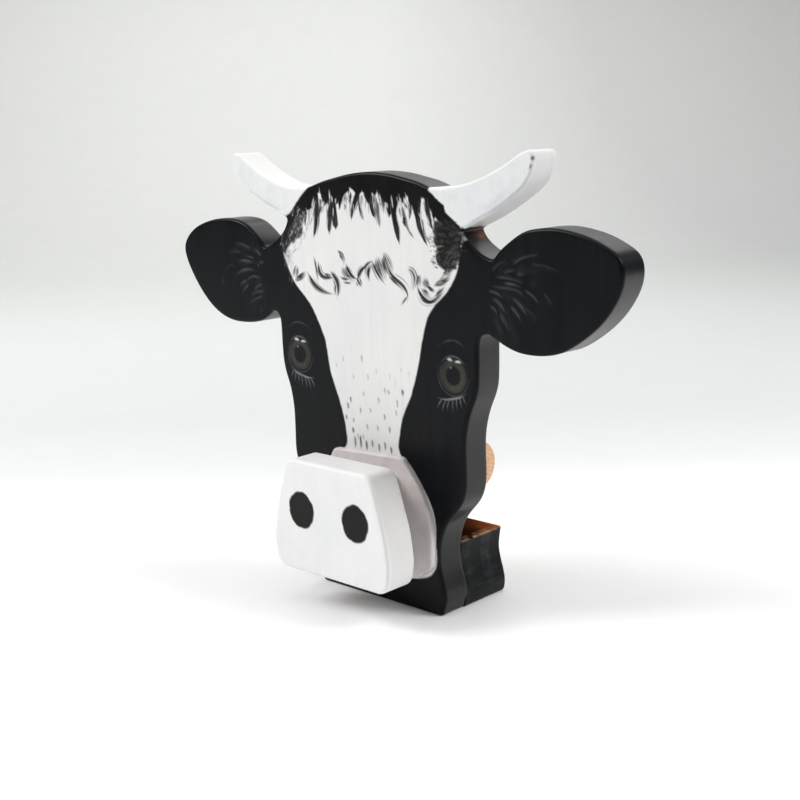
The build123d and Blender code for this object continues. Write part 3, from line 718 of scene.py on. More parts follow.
# second row of curled strands
GREY = (0.17, 0.17, 0.165)
CURLS = [
    ([(-33.0, 105.6), (-33.6, 103.2), (-34.4, 100.6)], (1.0, 1.6, 0.8), 0.42, 0.7, GREY),
    ([(-34.4, 100.2), (-31.4, 101.6), (-28.2, 103.5)], (0.6, 1.2, 0.5), 0.55, 0.5, GREY),
    ([(-33.8, 101.2), (-31.0, 102.4), (-28.6, 103.6)], (0.4, 0.5, 0.3), 0.7, 0.3, INK),
    ([(-28.2, 103.6), (-26.4, 101.2), (-23.8, 98.9), (-20.4, 97.5), (-15.2, 97.0)], (0.7, 1.2, 1.1, 0.7, 0.3), 0.88, 0.35, INK),
    ([(-27.0, 101.6), (-24.6, 99.2), (-21.0, 98.2)], (0.4, 0.6, 0.4), 0.4, 0.5, GREY),
    ([(-25.0, 109.0), (-24.0, 105.6), (-23.6, 102.6), (-23.0, 99.6)], (0.8, 0.7, 0.6, 0.5), 0.45, 0.6, GREY),
    ([(-22.6, 107.0), (-22.4, 104.2), (-20.8, 102.6), (-18.2, 102.2), (-15.4, 102.5)], (0.8, 1.2, 1.0, 0.9, 0.5), 0.92, 0.25, INK),
    ([(-20.4, 103.4), (-17.6, 102.9), (-15.6, 103.0)], (0.5, 0.5, 0.3), 0.45, 0.5, GREY),
    ([(-17.4, 104.4), (-15.4, 102.6), (-14.2, 100.0), (-14.2, 97.4), (-14.6, 95.7)], (0.6, 1.1, 1.3, 1.1, 0.4), 0.9, 0.3, INK),
    ([(-15.0, 100.6), (-15.4, 98.0), (-14.8, 96.4)], (0.5, 0.5, 0.3), 0.5, 0.4, GREY),
    ([(-13.9, 111.2), (-12.2, 109.8), (-11.2, 107.8), (-11.4, 105.6)], (0.5, 1.2, 0.9, 0.6), 0.36, 0.7, GREY),
    ([(-13.2, 110.2), (-12.2, 110.8)], (0.4, 0.4), 0.4, 0.4, GREY),
    ([(-12.0, 106.0), (-9.6, 103.6), (-6.6, 102.6)], (1.6, 2.2, 1.0), 0.30, 0.75, GREY),
    ([(-13.4, 103.0), (-10.4, 102.2), (-8.0, 102.6)], (0.4, 0.6, 0.3), 0.32, 0.6, GREY),
    ([(-12.0, 101.4), (-9.4, 101.0), (-7.2, 101.6)], (0.3, 0.4, 0.3), 0.25, 0.6, GREY),
    ([(-10.2, 107.0), (-9.0, 104.8), (-7.4, 103.2), (-5.2, 102.5)], (0.6, 1.1, 1.1, 0.8), 0.95, 0.25, INK),
    ([(-5.6, 102.8), (-4.6, 101.4), (-3.5, 100.0)], (0.9, 0.9, 0.3), 0.92, 0.2, INK),
    ([(-5.2, 102.4), (-4.4, 104.4), (-3.0, 106.0), (-1.2, 107.2)], (0.9, 0.9, 0.7, 0.4), 0.92, 0.2, INK),
    ([(-3.8, 104.0), (-2.2, 106.0), (0.0, 107.8), (2.2, 108.6)], (0.4, 0.4, 0.5, 0.3), 0.6, 0.4, INK),
    ([(1.0, 108.0), (-0.6, 106.0), (-1.0, 103.4), (-0.2, 100.6)], (0.5, 1.6, 1.6, 0.7), 0.45, 0.75, GREY),
    ([(0.4, 107.0), (-0.4, 104.6), (0.0, 102.0)], (0.3, 0.4, 0.3), 0.6, 0.3, INK),
    ([(1.2, 108.6), (2.4, 106.6), (3.8, 104.4), (6.8, 101.4)], (0.7, 1.0, 0.9, 0.5), 0.82, 0.35, INK),
    ([(3.8, 110.2), (4.6, 107.6), (6.0, 104.6), (7.6, 101.8)], (1.6, 3.0, 2.8, 1.2), 0.34, 0.8, GREY),
    ([(5.4, 110.0), (6.2, 107.0), (7.6, 104.4)], (0.4, 0.5, 0.4), 0.45, 0.5, GREY),
    ([(6.4, 111.6), (7.4, 108.6), (8.8, 105.8), (11.0, 103.4)], (1.0, 2.6, 2.8, 1.6), 0.46, 0.7, GREY),
    ([(7.6, 107.6), (9.4, 104.8), (12.2, 102.8), (14.8, 100.9), (15.9, 98.8), (15.6, 96.6)], (0.5, 0.9, 1.3, 1.2, 1.1, 0.4), 0.88, 0.3, INK),
    ([(8.0, 104.4), (10.8, 102.4), (13.6, 101.0)], (0.5, 0.8, 0.4), 0.4, 0.6, GREY),
    ([(15.6, 98.4), (14.2, 96.8), (12.3, 95.3)], (0.7, 0.6, 0.3), 0.6, 0.4, GREY),
    ([(16.0, 107.2), (18.0, 106.2), (19.0, 104.0), (18.0, 101.4), (16.6, 99.6)], (0.8, 1.5, 1.7, 0.9, 0.4), 0.46, 0.65, GREY),
    ([(21.2, 105.6), (21.0, 103.4), (21.4, 101.2)], (0.8, 1.4, 1.0), 0.5, 0.6, GREY),
    ([(19.8, 102.4), (20.8, 100.0), (22.6, 98.3), (24.8, 97.6), (27.2, 98.6), (29.6, 100.2), (31.6, 101.8)], (0.6, 1.2, 1.3, 0.9, 0.8, 0.6, 0.4), 0.9, 0.3, INK),
    ([(21.6, 101.4), (23.4, 99.8), (25.4, 98.8)], (0.6, 1.1, 0.5), 0.5, 0.6, GREY),
    ([(22.4, 104.8), (23.4, 102.8), (25.8, 101.0)], (1.4, 1.6, 0.6), 0.5, 0.6, GREY),
    ([(23.8, 102.6), (25.6, 101.0), (27.6, 100.6)], (0.4, 0.5, 0.3), 0.55, 0.4, INK),
    ([(26.4, 98.9), (28.8, 100.8), (31.4, 102.8)], (0.4, 0.5, 0.4), 0.7, 0.3, INK),
    ([(26.4, 102.4), (29.4, 103.0), (32.6, 104.6)], (0.5, 1.0, 0.8), 0.7, 0.5, (0.11, 0.095, 0.065)),
    ([(28.6, 103.6), (31.0, 104.6), (33.4, 106.2)], (0.5, 1.0, 0.8), 0.6, 0.5, (0.08, 0.068, 0.050)),
    ([(30.4, 105.8), (32.4, 106.8), (34.6, 107.6)], (0.6, 1.0, 0.6), 0.6, 0.5, (0.05, 0.045, 0.038)),
]
for k, (pts, w, al, dry, c) in enumerate(CURLS):
    if c is GREY:
        cv.stroke(mm(pts), [v * U * 1.1 for v in w], c, alpha=al * 0.42, dry=dry, seed=300 + k, tip=0.4, root=0.3, fade=(0.12, 0.2))
        cv.tuft(mm(pts), [v * U * 1.5 for v in w], (0.010, 0.14), int(5 + 5 * max(w)), 1200 + k, alpha=0.9, hair=(0.20, 0.32))
    else:
        cv.stroke(mm(pts), [v * U * 0.86 for v in w], c, alpha=min(1.0, al * 1.12), dry=dry * 0.35, seed=300 + k, tip=0.35, root=0.2)
        cv.tuft(mm(pts), [v * U * 2.5 for v in w], (0.006, 0.07), 8, 1200 + k, alpha=0.92, hair=(0.20, 0.32), tint=tuple(v / max(c) for v in c))

# muzzle whisker dashes down the blaze
for k, (x, z, w, ln, al) in enumerate([
        (-13, 76.3, 0.8, 2.0, 0.28), (-4.7, 77.3, 0.8, 2.6, 0.55), (5.0, 68.2, 0.9, 2.0, 0.45), (6.6, 67.8, 1.0, 1.6, 0.5), (12.6, 68.4, 1.2, 2.2, 0.85),
        (10.2, 64.6, 0.8, 2.8, 0.6), (9.6, 61.6, 0.7, 2.2, 0.5), (7.3, 72.8, 0.6, 2.6, 0.25), (9.6, 71.4, 0.5, 3.0, 0.2), (12.3, 75.4, 0.6, 1.8, 0.25),
        (-10.3, 63.4, 0.8, 2.2, 0.85), (-11.6, 61.2, 1.0, 2.4, 0.75), (-12.6, 57.4, 0.9, 1.8, 0.75), (-9.3, 56.8, 0.8, 1.6, 0.6), (-9.7, 53.4, 1.1, 2.0, 0.85),
        (-8.9, 49.6, 1.0, 4.2, 0.9), (-6.4, 49.9, 1.0, 4.8, 0.9), (-3.8, 49.2, 1.0, 3.6, 0.9), (-7.6, 51.6, 0.6, 2.4, 0.5), (-5.2, 51.8, 0.6, 2.0, 0.5),
        (-2.2, 71.6, 0.7, 2.2, 0.4), (-8.6, 71.0, 0.7, 2.0, 0.35), (1.6, 74.0, 0.6, 2.0, 0.3), (2.2, 64.6, 0.8, 2.2, 0.55), (-4.4, 66.0, 0.7, 2.0, 0.5),
        (-6.0, 60.4, 0.8, 2.2, 0.6), (-1.6, 61.0, 0.8, 1.8, 0.5), (4.6, 59.6, 0.9, 2.2, 0.65), (-3.2, 55.4, 0.8, 2.2, 0.65), (1.4, 55.6, 0.8, 2.0, 0.6),
        (6.6, 55.8, 0.9, 2.4, 0.7), (-1.2, 50.2, 0.9, 2.8, 0.8), (1.8, 49.4, 1.0, 2.8, 0.85), (4.4, 50.2, 0.9, 3.0, 0.85), (7.0, 49.2, 1.0, 2.6, 0.85),
        (-16.2, 74.0, 0.6, 1.8, 0.3), (15.4, 74.6, 0.6, 1.8, 0.25)]):
    cv.stroke(mm([(x - 0.15, z + ln / 2), (x + 0.1, z), (x, z - ln / 2)]), w * U * 0.9, (0.05, 0.05, 0.048), alpha=al, dry=0.3, seed=400 + k, tip=0.4, root=0.25)

# ---- eyes ----
for s in (1, -1):
    ex, ez = s * 33.4 * U, (76.0 + LIFT) * U
    r = 5.45 * U
    ring = [(ex + r * (1 + 0.015 * math.sin(3 * a + s)) * math.cos(a), ez + r * (0.98 + 0.02 * math.cos(2 * a)) * math.sin(a))
            for a in np.linspace(0, 2 * math.pi, 60, endpoint=False)]
    cv.fill(ring, (0.030, 0.030, 0.025), soft=1)
    for k in range(90):
        a = 2 * math.pi * k / 90
        rng = np.random.RandomState(500 + k)
        r0, r1 = r * (0.50 + 0.1 * rng.rand()), r * (0.80 + 0.14 * rng.rand())
        tone = 0.035 + 0.035 * rng.rand()
        cv.stroke([(ex + r0 * math.cos(a), ez + r0 * math.sin(a)), (ex + r1 * math.cos(a + 0.05), ez + r1 * math.sin(a + 0.05))], 0.26,
                  (tone * 1.06, tone, tone * 0.78), alpha=0.55, tip=0.3, root=0.2)
    pup = [(ex + 0.52 * r * math.cos(a), ez + 0.1 + 0.54 * r * math.sin(a)) for a in np.linspace(0, 2 * math.pi, 40, endpoint=False)]
    cv.fill(pup, (0.006, 0.006, 0.006), soft=2)
    arc = [(ex + r * math.cos(a), ez + r * math.sin(a)) for a in np.linspace(math.radians(200), math.radians(520), 30)]
    cv.stroke(arc, 0.42, (0.004, 0.004, 0.005), alpha=0.95, tip=0.05, root=0.05)
    arc = [(ex + (r + 0.5) * math.cos(a), ez + (r + 0.5) * math.sin(a)) for a in np.linspace(math.radians(155), math.radians(385), 30)]
    cv.stroke(arc, 0.32, (0.075, 0.078, 0.080), alpha=0.75, tip=0.3, root=0.3, dry=0.3, seed=7)
    arc = [(ex + (r + 0.45) * math.cos(a), ez + (r + 0.45) * math.sin(a)) for a in np.linspace(math.radians(40), math.radians(150), 20)]
    cv.stroke(arc, 0.55, (0.13, 0.13, 0.13), alpha=0.7, tip=0.4, root=0.4, dry=0.4, seed=8)
    cv.stroke([(ex - 2.3 * 0.95, ez + 4.9 * 0.95), (ex - 0.9, ez + 4.6), (ex - 0.2, ez + 4.35)], 0.75, (0.66, 0.67, 0.66), alpha=0.9, tip=0.4, root=0.3, dry=0.2)
    cv.stroke([(ex + 0.7, ez + 4.1), (ex + 1.9, ez + 4.3), (ex + 3.1, ez + 4.1)], 0.55, (0.72, 0.73, 0.72), alpha=0.9, tip=0.4, root=0.3, dry=0.1)
    cv.stroke([(ex - 1.2, ez + 2.2), (ex - 0.5, ez + 2.5)], 0.6, (0.30, 0.31, 0.31), alpha=0.7, tip=0.5, root=0.4)
    lid = [(27.4, 68.6), (30.0, 68.5), (33.2, 69.1), (36.0, 69.9), (38.2, 71.2)]
    cv.stroke(mm([(s * x, z) for x, z in lid]), (0.35, 0.6, 0.6, 0.5, 0.3), (0.23, 0.235, 0.24), alpha=0.85, tip=0.3, root=0.3, dry=0.25, seed=9)
    for k, (a, b) in enumerate([((28.6, 68.2), (27.0, 65.6)), ((30.2, 68.2), (28.8, 64.6)), ((31.6, 68.4), (30.8, 65.0)), ((33.2, 68.7), (33.0, 65.2)),
                                ((34.6, 69.2), (34.8, 66.0)), ((36.0, 69.6), (36.6, 66.8)), ((37.2, 70.2), (38.2, 68.0))]):
        mid = ((a[0] + b[0]) / 2 - 0.25, (a[1] + b[1]) / 2)
        cv.stroke(mm([(s * a[0], a[1]), (s * mid[0], mid[1]), (s * b[0], b[1])]), 0.38, (0.20, 0.205, 0.21), alpha=0.55, tip=0.6, root=0.1, dry=0.2, seed=510 + k)
    brow = [(27.6, 84.4), (31.4, 86.4), (36.0, 86.2), (39.0, 84.0)]
    cv.stroke(mm([(s * x, z) for x, z in brow]), (0.3, 0.6, 0.6, 0.3), (0.09, 0.092, 0.096), alpha=0.35, dry=0.6, seed=11, tip=0.4, root=0.4)

# ---- ear hairs ----
EAR_L = [[(-54.9, 110.5), (-52.4, 109.1), (-50.5, 107.5)], [(-65.1, 110.9), (-60.5, 111.1), (-55.5, 109.3)], [(-59.6, 107.5), (-54.2, 106.8)],
         [(-53.3, 105), (-51.7, 104.1)], [(-52.4, 105.5), (-49.4, 105.7)], [(-70.3, 100.9), (-68.3, 103), (-66, 104.1)],
         [(-73.3, 96.4), (-70.5, 99.1)], [(-66.9, 98.2), (-63.3, 100.9), (-59.6, 102.5), (-53.7, 102.5)], [(-60.5, 97.7), (-57.8, 99.5), (-55.1, 100.5), (-51.7, 100.2)],
         [(-61.5, 93.2), (-60.1, 95.5), (-57.4, 97.7)], [(-56, 94.8), (-53.3, 96.8), (-50.3, 98.2)], [(-58.7, 92.7), (-55.1, 95), (-49.4, 95.9)],
         [(-59, 89.1), (-56.9, 91.4), (-53.3, 93.2), (-50.3, 94.1)], [(-64, 104.6), (-60, 105.4), (-55, 105.0)], [(-63.4, 95.4), (-61.4, 97.6), (-58.6, 98.8)],
         [(-69, 107.6), (-64.6, 108.6), (-60.6, 108.4)]]
EAR_R = [[(48.5, 107.8), (51, 110), (55.5, 111.5)], [(55.5, 109.5), (58, 111.5), (64, 113.3), (67, 113.8)], [(52.5, 108), (58, 109.3)], [(57, 107.5), (62, 108)],
         [(62.5, 110.3), (66, 110.3), (69.5, 109.5), (73, 108.5), (75.5, 107.5)], [(49.3, 106.3), (52.5, 106.5), (58, 105.8), (61, 104.8)],
         [(47.5, 104), (50, 103.5), (55, 103.3), (58.5, 102.5), (61, 100.5), (63, 98.5)], [(47.3, 102.3), (50, 101.8), (54, 99.5)],
         [(48.3, 100.3), (51, 99), (53, 97), (55.5, 95.5)], [(56, 101), (59, 98.5), (61.5, 95)], [(47.8, 97.8), (49.5, 96.8), (50.5, 95)],
         [(51.3, 96.3), (52.8, 94), (54.5, 90.5)], [(66.5, 103), (68.5, 101), (71, 98)], [(60.0, 103.2), (63.4, 101.4), (66.0, 98.6)],
         [(55.0, 98.6), (57.6, 96.2), (59.4, 93.0)], [(52.6, 104.6), (57.0, 104.4), (60.4, 103.6)]]
for s, ear, back in ((-1, EAR_L, True), (1, EAR_R, False)):
    for k in range(34):     # faint sweep of dry strokes behind the brighter hairs
        rng = np.random.RandomState(760 + k + (40 if s > 0 else 0))
        a = math.radians(rng.uniform(-64, 46))
        r0, ln = rng.uniform(3, 13), rng.uniform(7, 16)
        cx, cz = s * 45.5, 103.0
        p = [(cx + s * r * math.cos(a - 0.022 * (r - r0)), cz + r * math.sin(a - 0.022 * (r - r0))) for r in (r0, r0 + ln * 0.35, r0 + ln * 0.7, r0 + ln)]
        t_ = rng.uniform(0.012, 0.022)
        cv.stroke(mm(p), rng.uniform(0.3, 0.8), (t_ * 0.95, t_, t_ * 1.05), alpha=0.5, dry=0.7, seed=800 + k, tip=0.6, root=0.3, fade=(0.2, 0.5))
    for k, pts in enumerate(ear):
        p = list(reversed(pts)) if back else pts
        rng = np.random.RandomState(600 + k)
        far = abs(p[0][0]) > 60
        tone = (0.024 if far else 0.042) * rng.uniform(0.8, 1.25)
        cv.stroke(mm(p), 0.95 * U, (tone * 0.62, tone * 0.65, tone * 0.68), alpha=0.6, dry=0.5, seed=640 + k + (50 if s > 0 else 0),
                  tip=0.6, root=0.2, fade=(0.1, 0.4))
        cv.tuft(mm(p), 0.9, (tone * 0.8, tone * 1.5), 3, 1500 + k + (50 if s > 0 else 0), alpha=0.75, hair=(0.20, 0.34), late=0.12, tint=(0.95, 1.0, 1.04))

pts = scattered(cv, 0.25, 60000, 1.5)
front_pts = np.vstack(pts)
print("paint points", [len(p) for p in pts])


dent = Lattice(5)


def sawn(loop, y, t):
    """Shallow hollows left by sawing and sanding, always into the wood."""
    n = dent.fractal(loop[:, 0] * 1.0 + 400, loop[:, 1] + 400 + 0.35 * y, 6.0, 2)
    return 0.10 * np.clip(n - 0.35, 0, 1) * math.sin(math.pi * min(max(t, 0), 1))


board, bv, bk = slab("head_board_painted", board_loop, YB0, YB1, 0.9, 0.8, front_pts, grid_points(board_loop, 2.6), 12, 0.56, sawn)
x, y, z = bv[:, 0], bv[:, 1], bv[:, 2]
both = cv.read(x, z)
rgb, cover = both[:, :3].copy(), both[:, 3].copy()

# wall and back: horns white all round, the rest black, a bare reddish rub at the right shoulder
rest = bk > 0
edge_noise = Lattice(9).fractal(x + 300, z * 0.7 + y * 1.3 + 300, 2.0, 2)
root_r = (38.2 - 1.2 * edge_noise) * U
horn_r = (x > 24.4) & (z > (119.6 + LIFT) * U - 1.0) & ((z - 113.9) > (x - 34.2) * 0.30 - 40)
wall_r = rest & (x > 0) & (z > 114.6 + 0.5 * edge_noise) & ((x > 34.6) & (z < 126) & (z > 113.5 + 0.35 * (x - 34.6)) | (z > 125.15) & (x > 24.0))
wall_l = rest & (x < 0) & (z > 115.6 + 0.5 * edge_noise) & ((x < -34.6) & (z > 114.6) | (z > 124.7) & (x < -24.8))
for m in (wall_r, wall_l):
    rgb[m] = (0.775, 0.775, 0.765)
    cover[m] = 1.0
m = rest & ~wall_r & ~wall_l
rgb[m] = BLACK
cover[m] = 0.0
near = np.exp(-(((x - 36.0) / 1.7) ** 2 + ((z - 112.7) / 1.3) ** 2 + ((y - 3.2) / 1.9) ** 2))
k = np.clip(near * (0.5 + edge_noise), 0, 1)[:, None] * rest[:, None]
rgb = rgb * (1 - k) + np.array([(0.24, 0.085, 0.05)]) * k
put_paint(board, rgb, cover, np.maximum(rest.astype(float), 0.0))
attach(board, "root")
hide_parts("head_board")
print("board faces", len(board.data.polygons), sum(len(p.vertices) - 2 for p in board.data.polygons))

# ================================================================== muzzle block
corners = MUZZLE_HALF + [((-x_, z_), r_) for (x_, z_), r_ in reversed(MUZZLE_HALF)]
muz_loop = rounded_polygon(corners, 0.5)
mcv = Canvas(-27, 27, 9, 49, 0.125)
mcv.rgb[:] = (0.900, 0.900, 0.892)
mcv.cover[:] = 1.0
for s in (1, -1):
    cx, cz = s * 11.9 * U, (31.6 + LIFT) * U
    n = np.random.RandomState(20 + s)
    ph = n.rand(4) * 6.28
    ring = []
    for a in np.linspace(0, 2 * math.pi, 90, endpoint=False):
        r = 5.55 * (1 + 0.016 * math.sin(5 * a + ph[0]) + 0.012 * math.sin(8 * a + ph[1]) + 0.008 * math.sin(13 * a + ph[2]))
        ring.append((cx + r * 0.975 * math.cos(a), cz + r * 1.03 * math.sin(a)))
    mcv.fill(ring, (0.0088, 0.0076, 0.0066), soft=1, white=0.0)
    for k in range(26):
        rr = np.random.RandomState(40 + k + 3 * s)
        a, r = rr.rand() * 6.28, 4.4 * math.sqrt(rr.rand())
        px, pz = cx + r * math.cos(a), cz + r * math.sin(a)
        mcv.stroke([(px, pz + 0.9), (px + 0.1, pz - 0.9)], 0.6, (0.017, 0.0145, 0.0125), alpha=0.4, dry=0.6, seed=k, tip=0.4, root=0.4)
mp = scattered(mcv, 0.25, 60000, 1.0)
muzzle, mv, mk = slab("muzzle_block_painted", muz_loop, YM0, YS0, 0.95, 1.1, np.vstack(mp), grid_points(muz_loop, 2.0), 12, 0.5, sawn)
both = mcv.read(mv[:, 0], mv[:, 2])
rgb, cover = both[:, :3].copy(), both[:, 3].copy()
m = mk > 0
rgb[m] = (0.850, 0.830, 0.818)
cover[m] = 1
put_paint(muzzle, rgb, cover)
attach(muzzle, "root")
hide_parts("muzzle_block")

# ================================================================== nose spacer
sp_loop = rounded_polygon([((11.0, 14.0), 0.3), ((11.0, 41.0), 0.3), ((-11.0, 41.0), 0.3), ((-11.0, 14.0), 0.3)], 0.6)
spacer, sv, sk = slab("nose_spacer_painted", sp_loop, YS0, YP0, 0.0, 0.0, grid_points(sp_loop, 2.5), grid_points(sp_loop, 2.5), 10, 0.6, sawn)
n = Lattice(15).fractal(sv[:, 0] + 200, sv[:, 1] * 0.5 + 200, 3.0, 2)[:, None]
# pinkish grey, darker than the white muzzle paint: painted shade of the slot behind the muzzle
put_paint(spacer, np.array([(0.730, 0.690, 0.680)]) * (0.93 + 0.1 * n), np.ones(len(sv)))
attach(spacer, "root")
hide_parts("nose_spacer")

# ================================================================== thin nose plate
pl_loop = rounded_polygon(PLATE, 0.45)
plate_o, pv, pk = slab("nose_plate_painted", pl_loop, YP0, YB0, 0.7, 0.0, grid_points(pl_loop, 1.0), grid_points(pl_loop, 2.5), 4, 0.45, None)
n = Lattice(16).fractal(pv[:, 0] * 0.8 + 200, pv[:, 2] * 0.8 + 200, 3.5, 3)[:, None]
n2 = Lattice(17).fractal(pv[:, 0] * 1.6 + 100, pv[:, 2] * 0.6 + 200, 2.0, 3)[:, None]
rub = smooth(0.52, 0.78, n)
# pinkish grey instead of white: painted shade cast by the muzzle standing in front of the plate
plate_white_in_painted_shade = np.array([(0.700, 0.660, 0.650)]) * (0.94 + 0.1 * n2)
rgb = plate_white_in_painted_shade * (1 - 0.35 * rub) + np.array([(0.56, 0.47, 0.44)]) * 0.35 * rub
put_paint(plate_o, rgb, np.ones(len(pv)))
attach(plate_o, "root")
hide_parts("nose_plate")

# ================================================================== foot block
foot_loop = joined([FOOT_HALF, [FOOT_HALF[-1], (-FOOT_HALF[-1][0], 20.8)], [(-a, b) for a, b in reversed(FOOT_HALF)],
                    [(-25.9, 1.4), (-25.4, 0)], [(-25.4, 0), (25.4, 0)], [(25.4, 0), (25.9, 1.4)]], 0.5)
foot_loop = soften(even(foot_loop, 0.5), 2)
foot_loop[:, 1] = np.maximum(foot_loop[:, 1], 0.0)
foot, fv, fkind = slab("foot_block_painted", foot_loop, YB1, YF1, 0.12, 0.7, grid_points(foot_loop, 2.2), grid_points(foot_loop, 2.2), 26, 0.5, sawn)
x, y, z = fv[:, 0], fv[:, 1], fv[:, 2]
nz = Lattice(25)
n1 = nz.fractal(x * 0.5 + 100, y * 2.2 + 100, 2.4, 3)
n2 = nz.fractal(x + 300, y + z + 300, 1.6, 3)
top = smooth(20.05, 20.55, z - 0.25 * (n2 - 0.5))
depth_t = np.clip((y - YB1) / (YF1 - YB1), 0, 1)
# top stain: dark red-brown, the wood's own colour, rising to orange toward the back and the right, which is painted
# light
painted_light_orange = np.clip(depth_t * 0.75 + 0.35 * smooth(8, 26, x) * smooth(0.25, 0.8, depth_t), 0, 1)[:, None] ** 5.0
stain = np.array([(0.0150, 0.0042, 0.0026)]) * (1 - painted_light_orange) + np.array([(0.24, 0.068, 0.021)]) * painted_light_orange
stain = stain * (0.65 + 0.7 * n1[:, None])
brush = nz.fractal(x * 0.3 + 80, y * 0.55 + 160, 1.3, 2) * 0.5 + nz.fractal(y * 0.22 + 60, z * 1.5 + 90, 1.1, 3) * 0.5
rgb = np.array([BLACK]) * (0.6 + 3.2 * smooth(0.42, 0.72, brush)[:, None]) * np.array([[0.97, 1.04, 0.98]])
rgb = rgb * (1 - top[:, None]) + stain * top[:, None]
# sanded-through rim along the top edges
rim = np.exp(-((z - 20.45) / 0.30) ** 2) * smooth(0.30, 0.62, n2) * (np.abs(x) > 22.5)
rgb = rgb * (1 - rim[:, None] * 0.8) + np.array([(0.34, 0.20, 0.115)]) * rim[:, None] * 0.8
# red bleed at the foot of the joint
bleed = np.exp(-((y - YB1) / 0.8) ** 2) * np.exp(-((z - 1.9) / 1.3) ** 2) * (np.abs(x) > 20) * smooth(0.25, 0.6, n2)
rgb = rgb * (1 - bleed[:, None] * 0.8) + np.array([(0.11, 0.022, 0.018)]) * bleed[:, None] * 0.8
put_paint(foot, rgb, np.zeros(len(x)), 1.0 - 2.0 * top)
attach(foot, "root")
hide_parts("foot_block")

# ================================================================== rear rest: a turned bar, bare wood
def turned(name, profile, axis_y, axis_z, seg):
    bm = bmesh.new()
    rings = []
    lump = Lattice(33)
    for px, r in profile:
        ring = []
        for k in range(seg):
            a = 2 * math.pi * k / seg
            rr = r * (1 - 0.004 * float(lump.at(np.array([px * 0.3 + 50]), np.array([4 * math.cos(a) + 4 * math.sin(a) + 60]), 1.0)[0]))
            ring.append(bm.verts.new(Vector((px, axis_y + rr * math.cos(a), axis_z + rr * math.sin(a))) * MM))
        rings.append(ring)
    for p, q in zip(rings, rings[1:]):
        for k in range(seg):
            bm.faces.new([p[k], p[(k + 1) % seg], q[(k + 1) % seg], q[k]])
    for ring in (rings[0], rings[-1]):
        centre = sum((v.co for v in ring), Vector()) / seg
        c = bm.verts.new(centre)
        for k in range(seg):
            bm.faces.new([ring[k], ring[(k + 1) % seg], c])
    bmesh.ops.recalc_face_normals(bm, faces=bm.faces)
    me = bpy.data.meshes.new(name)
    bm.to_mesh(me)
    bm.free()
    me.polygons.foreach_set("use_smooth", [True] * len(me.polygons))
    o = bpy.data.objects.new(name, me)
    bpy.context.scene.collection.objects.link(o)
    return o


R, H = 7.2, 26.5
cap_r = [(H - 0.0, r) for r in (1.8, 3.6, 5.2, 6.2)]
profile = [(-H, 1.8), (-H, 3.6), (-H, 5.2), (-H, 6.2), (-H + 0.05, 6.6), (-H + 0.22, 6.92), (-H + 0.5, 7.12), (-H + 0.9, 7.19), (-H + 1.4, R)]
profile += [(v, R) for v in np.linspace(-H + 3, H - 3, 40)]
profile += [(H - 1.4, R), (H - 0.9, 7.19), (H - 0.5, 7.12), (H - 0.22, 6.92), (H - 0.05, 6.6), (H, 6.2), (H, 5.2), (H, 3.6), (H, 1.8)]
bar = turned("rear_rest_turned", profile, YB1 + R, 42.8, 96)
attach(bar, "root")
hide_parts("rear_rest")

# ================================================================== materials
def material(name):
    m = bpy.data.materials.new(name)
    m.use_nodes = True
    nt = m.node_tree
    for n_ in list(nt.nodes):
        nt.nodes.remove(n_)
    out = nt.nodes.new("ShaderNodeOutputMaterial")
    p = nt.nodes.new("ShaderNodeBsdfPrincipled")
    nt.links.new(p.outputs[0], out.inputs[0])
    return m, nt, p


def coords(nt, scale, offset=(0, 0, 0)):
    tc = nt.nodes.new("ShaderNodeTexCoord")
    mp_ = nt.nodes.new("ShaderNodeMapping")
    mp_.inputs["Scale"].default_value = scale
    mp_.inputs["Location"].default_value = offset
    nt.links.new(tc.outputs["Object"], mp_.inputs["Vector"])
    return mp_.outputs["Vector"]


def noise(nt, vec, scale, detail=3.0, rough=0.55, distortion=0.0):
    n_ = nt.nodes.new("ShaderNodeTexNoise")
    n_.inputs["Scale"].default_value = scale
    n_.inputs["Detail"].default_value = detail
    n_.inputs["Roughness"].default_value = rough
    n_.inputs["Distortion"].default_value = distortion
    nt.links.new(vec, n_.inputs["Vector"])
    return n_.outputs["Fac"]


def ramp(nt, fac, stops):
    r = nt.nodes.new("ShaderNodeValToRGB")
    cr = r.color_ramp
    while len(cr.elements) < len(stops):
        cr.elements.new(0.5)
    for e, (pos, col) in zip(cr.elements, stops):
        e.position = pos
        e.color = col if len(col) == 4 else (*col, 1)
    nt.links.new(fac, r.inputs[0])
    return r.outputs[0]


def math_node(nt, op, a, b=None, clamp=False):
    n_ = nt.nodes.new("ShaderNodeMath")
    n_.operation = op
    n_.use_clamp = clamp
    for k, v in enumerate((a, b)):
        if v is None:
            continue
        if isinstance(v, (int, float)):
            n_.inputs[k].default_value = v
        else:
            nt.links.new(v, n_.inputs[k])
    return n_.outputs[0]


def mix(nt, kind, fac, a, b):
    n_ = nt.nodes.new("ShaderNodeMix")
    n_.data_type = "RGBA"
    n_.blend_type = kind
    for key, v in (("Factor", fac), (6, a), (7, b)):
        sock = n_.inputs[key] if isinstance(key, int) else n_.inputs[0]
        if isinstance(v, (int, float)):
            sock.default_value = v
        elif isinstance(v, tuple):
            sock.default_value = v if len(v) == 4 else (*v, 1)
        else:
            nt.links.new(v, sock)
    return n_.outputs[2]


def attribute(nt, name):
    a = nt.nodes.new("ShaderNodeAttribute")
    a.attribute_name = name
    return a


def bump(nt, height, strength, distance):
    b = nt.nodes.new("ShaderNodeBump")
    b.inputs["Strength"].default_value = strength
    b.inputs["Distance"].default_value = distance
    nt.links.new(height, b.inputs["Height"])
    return b.outputs[0]


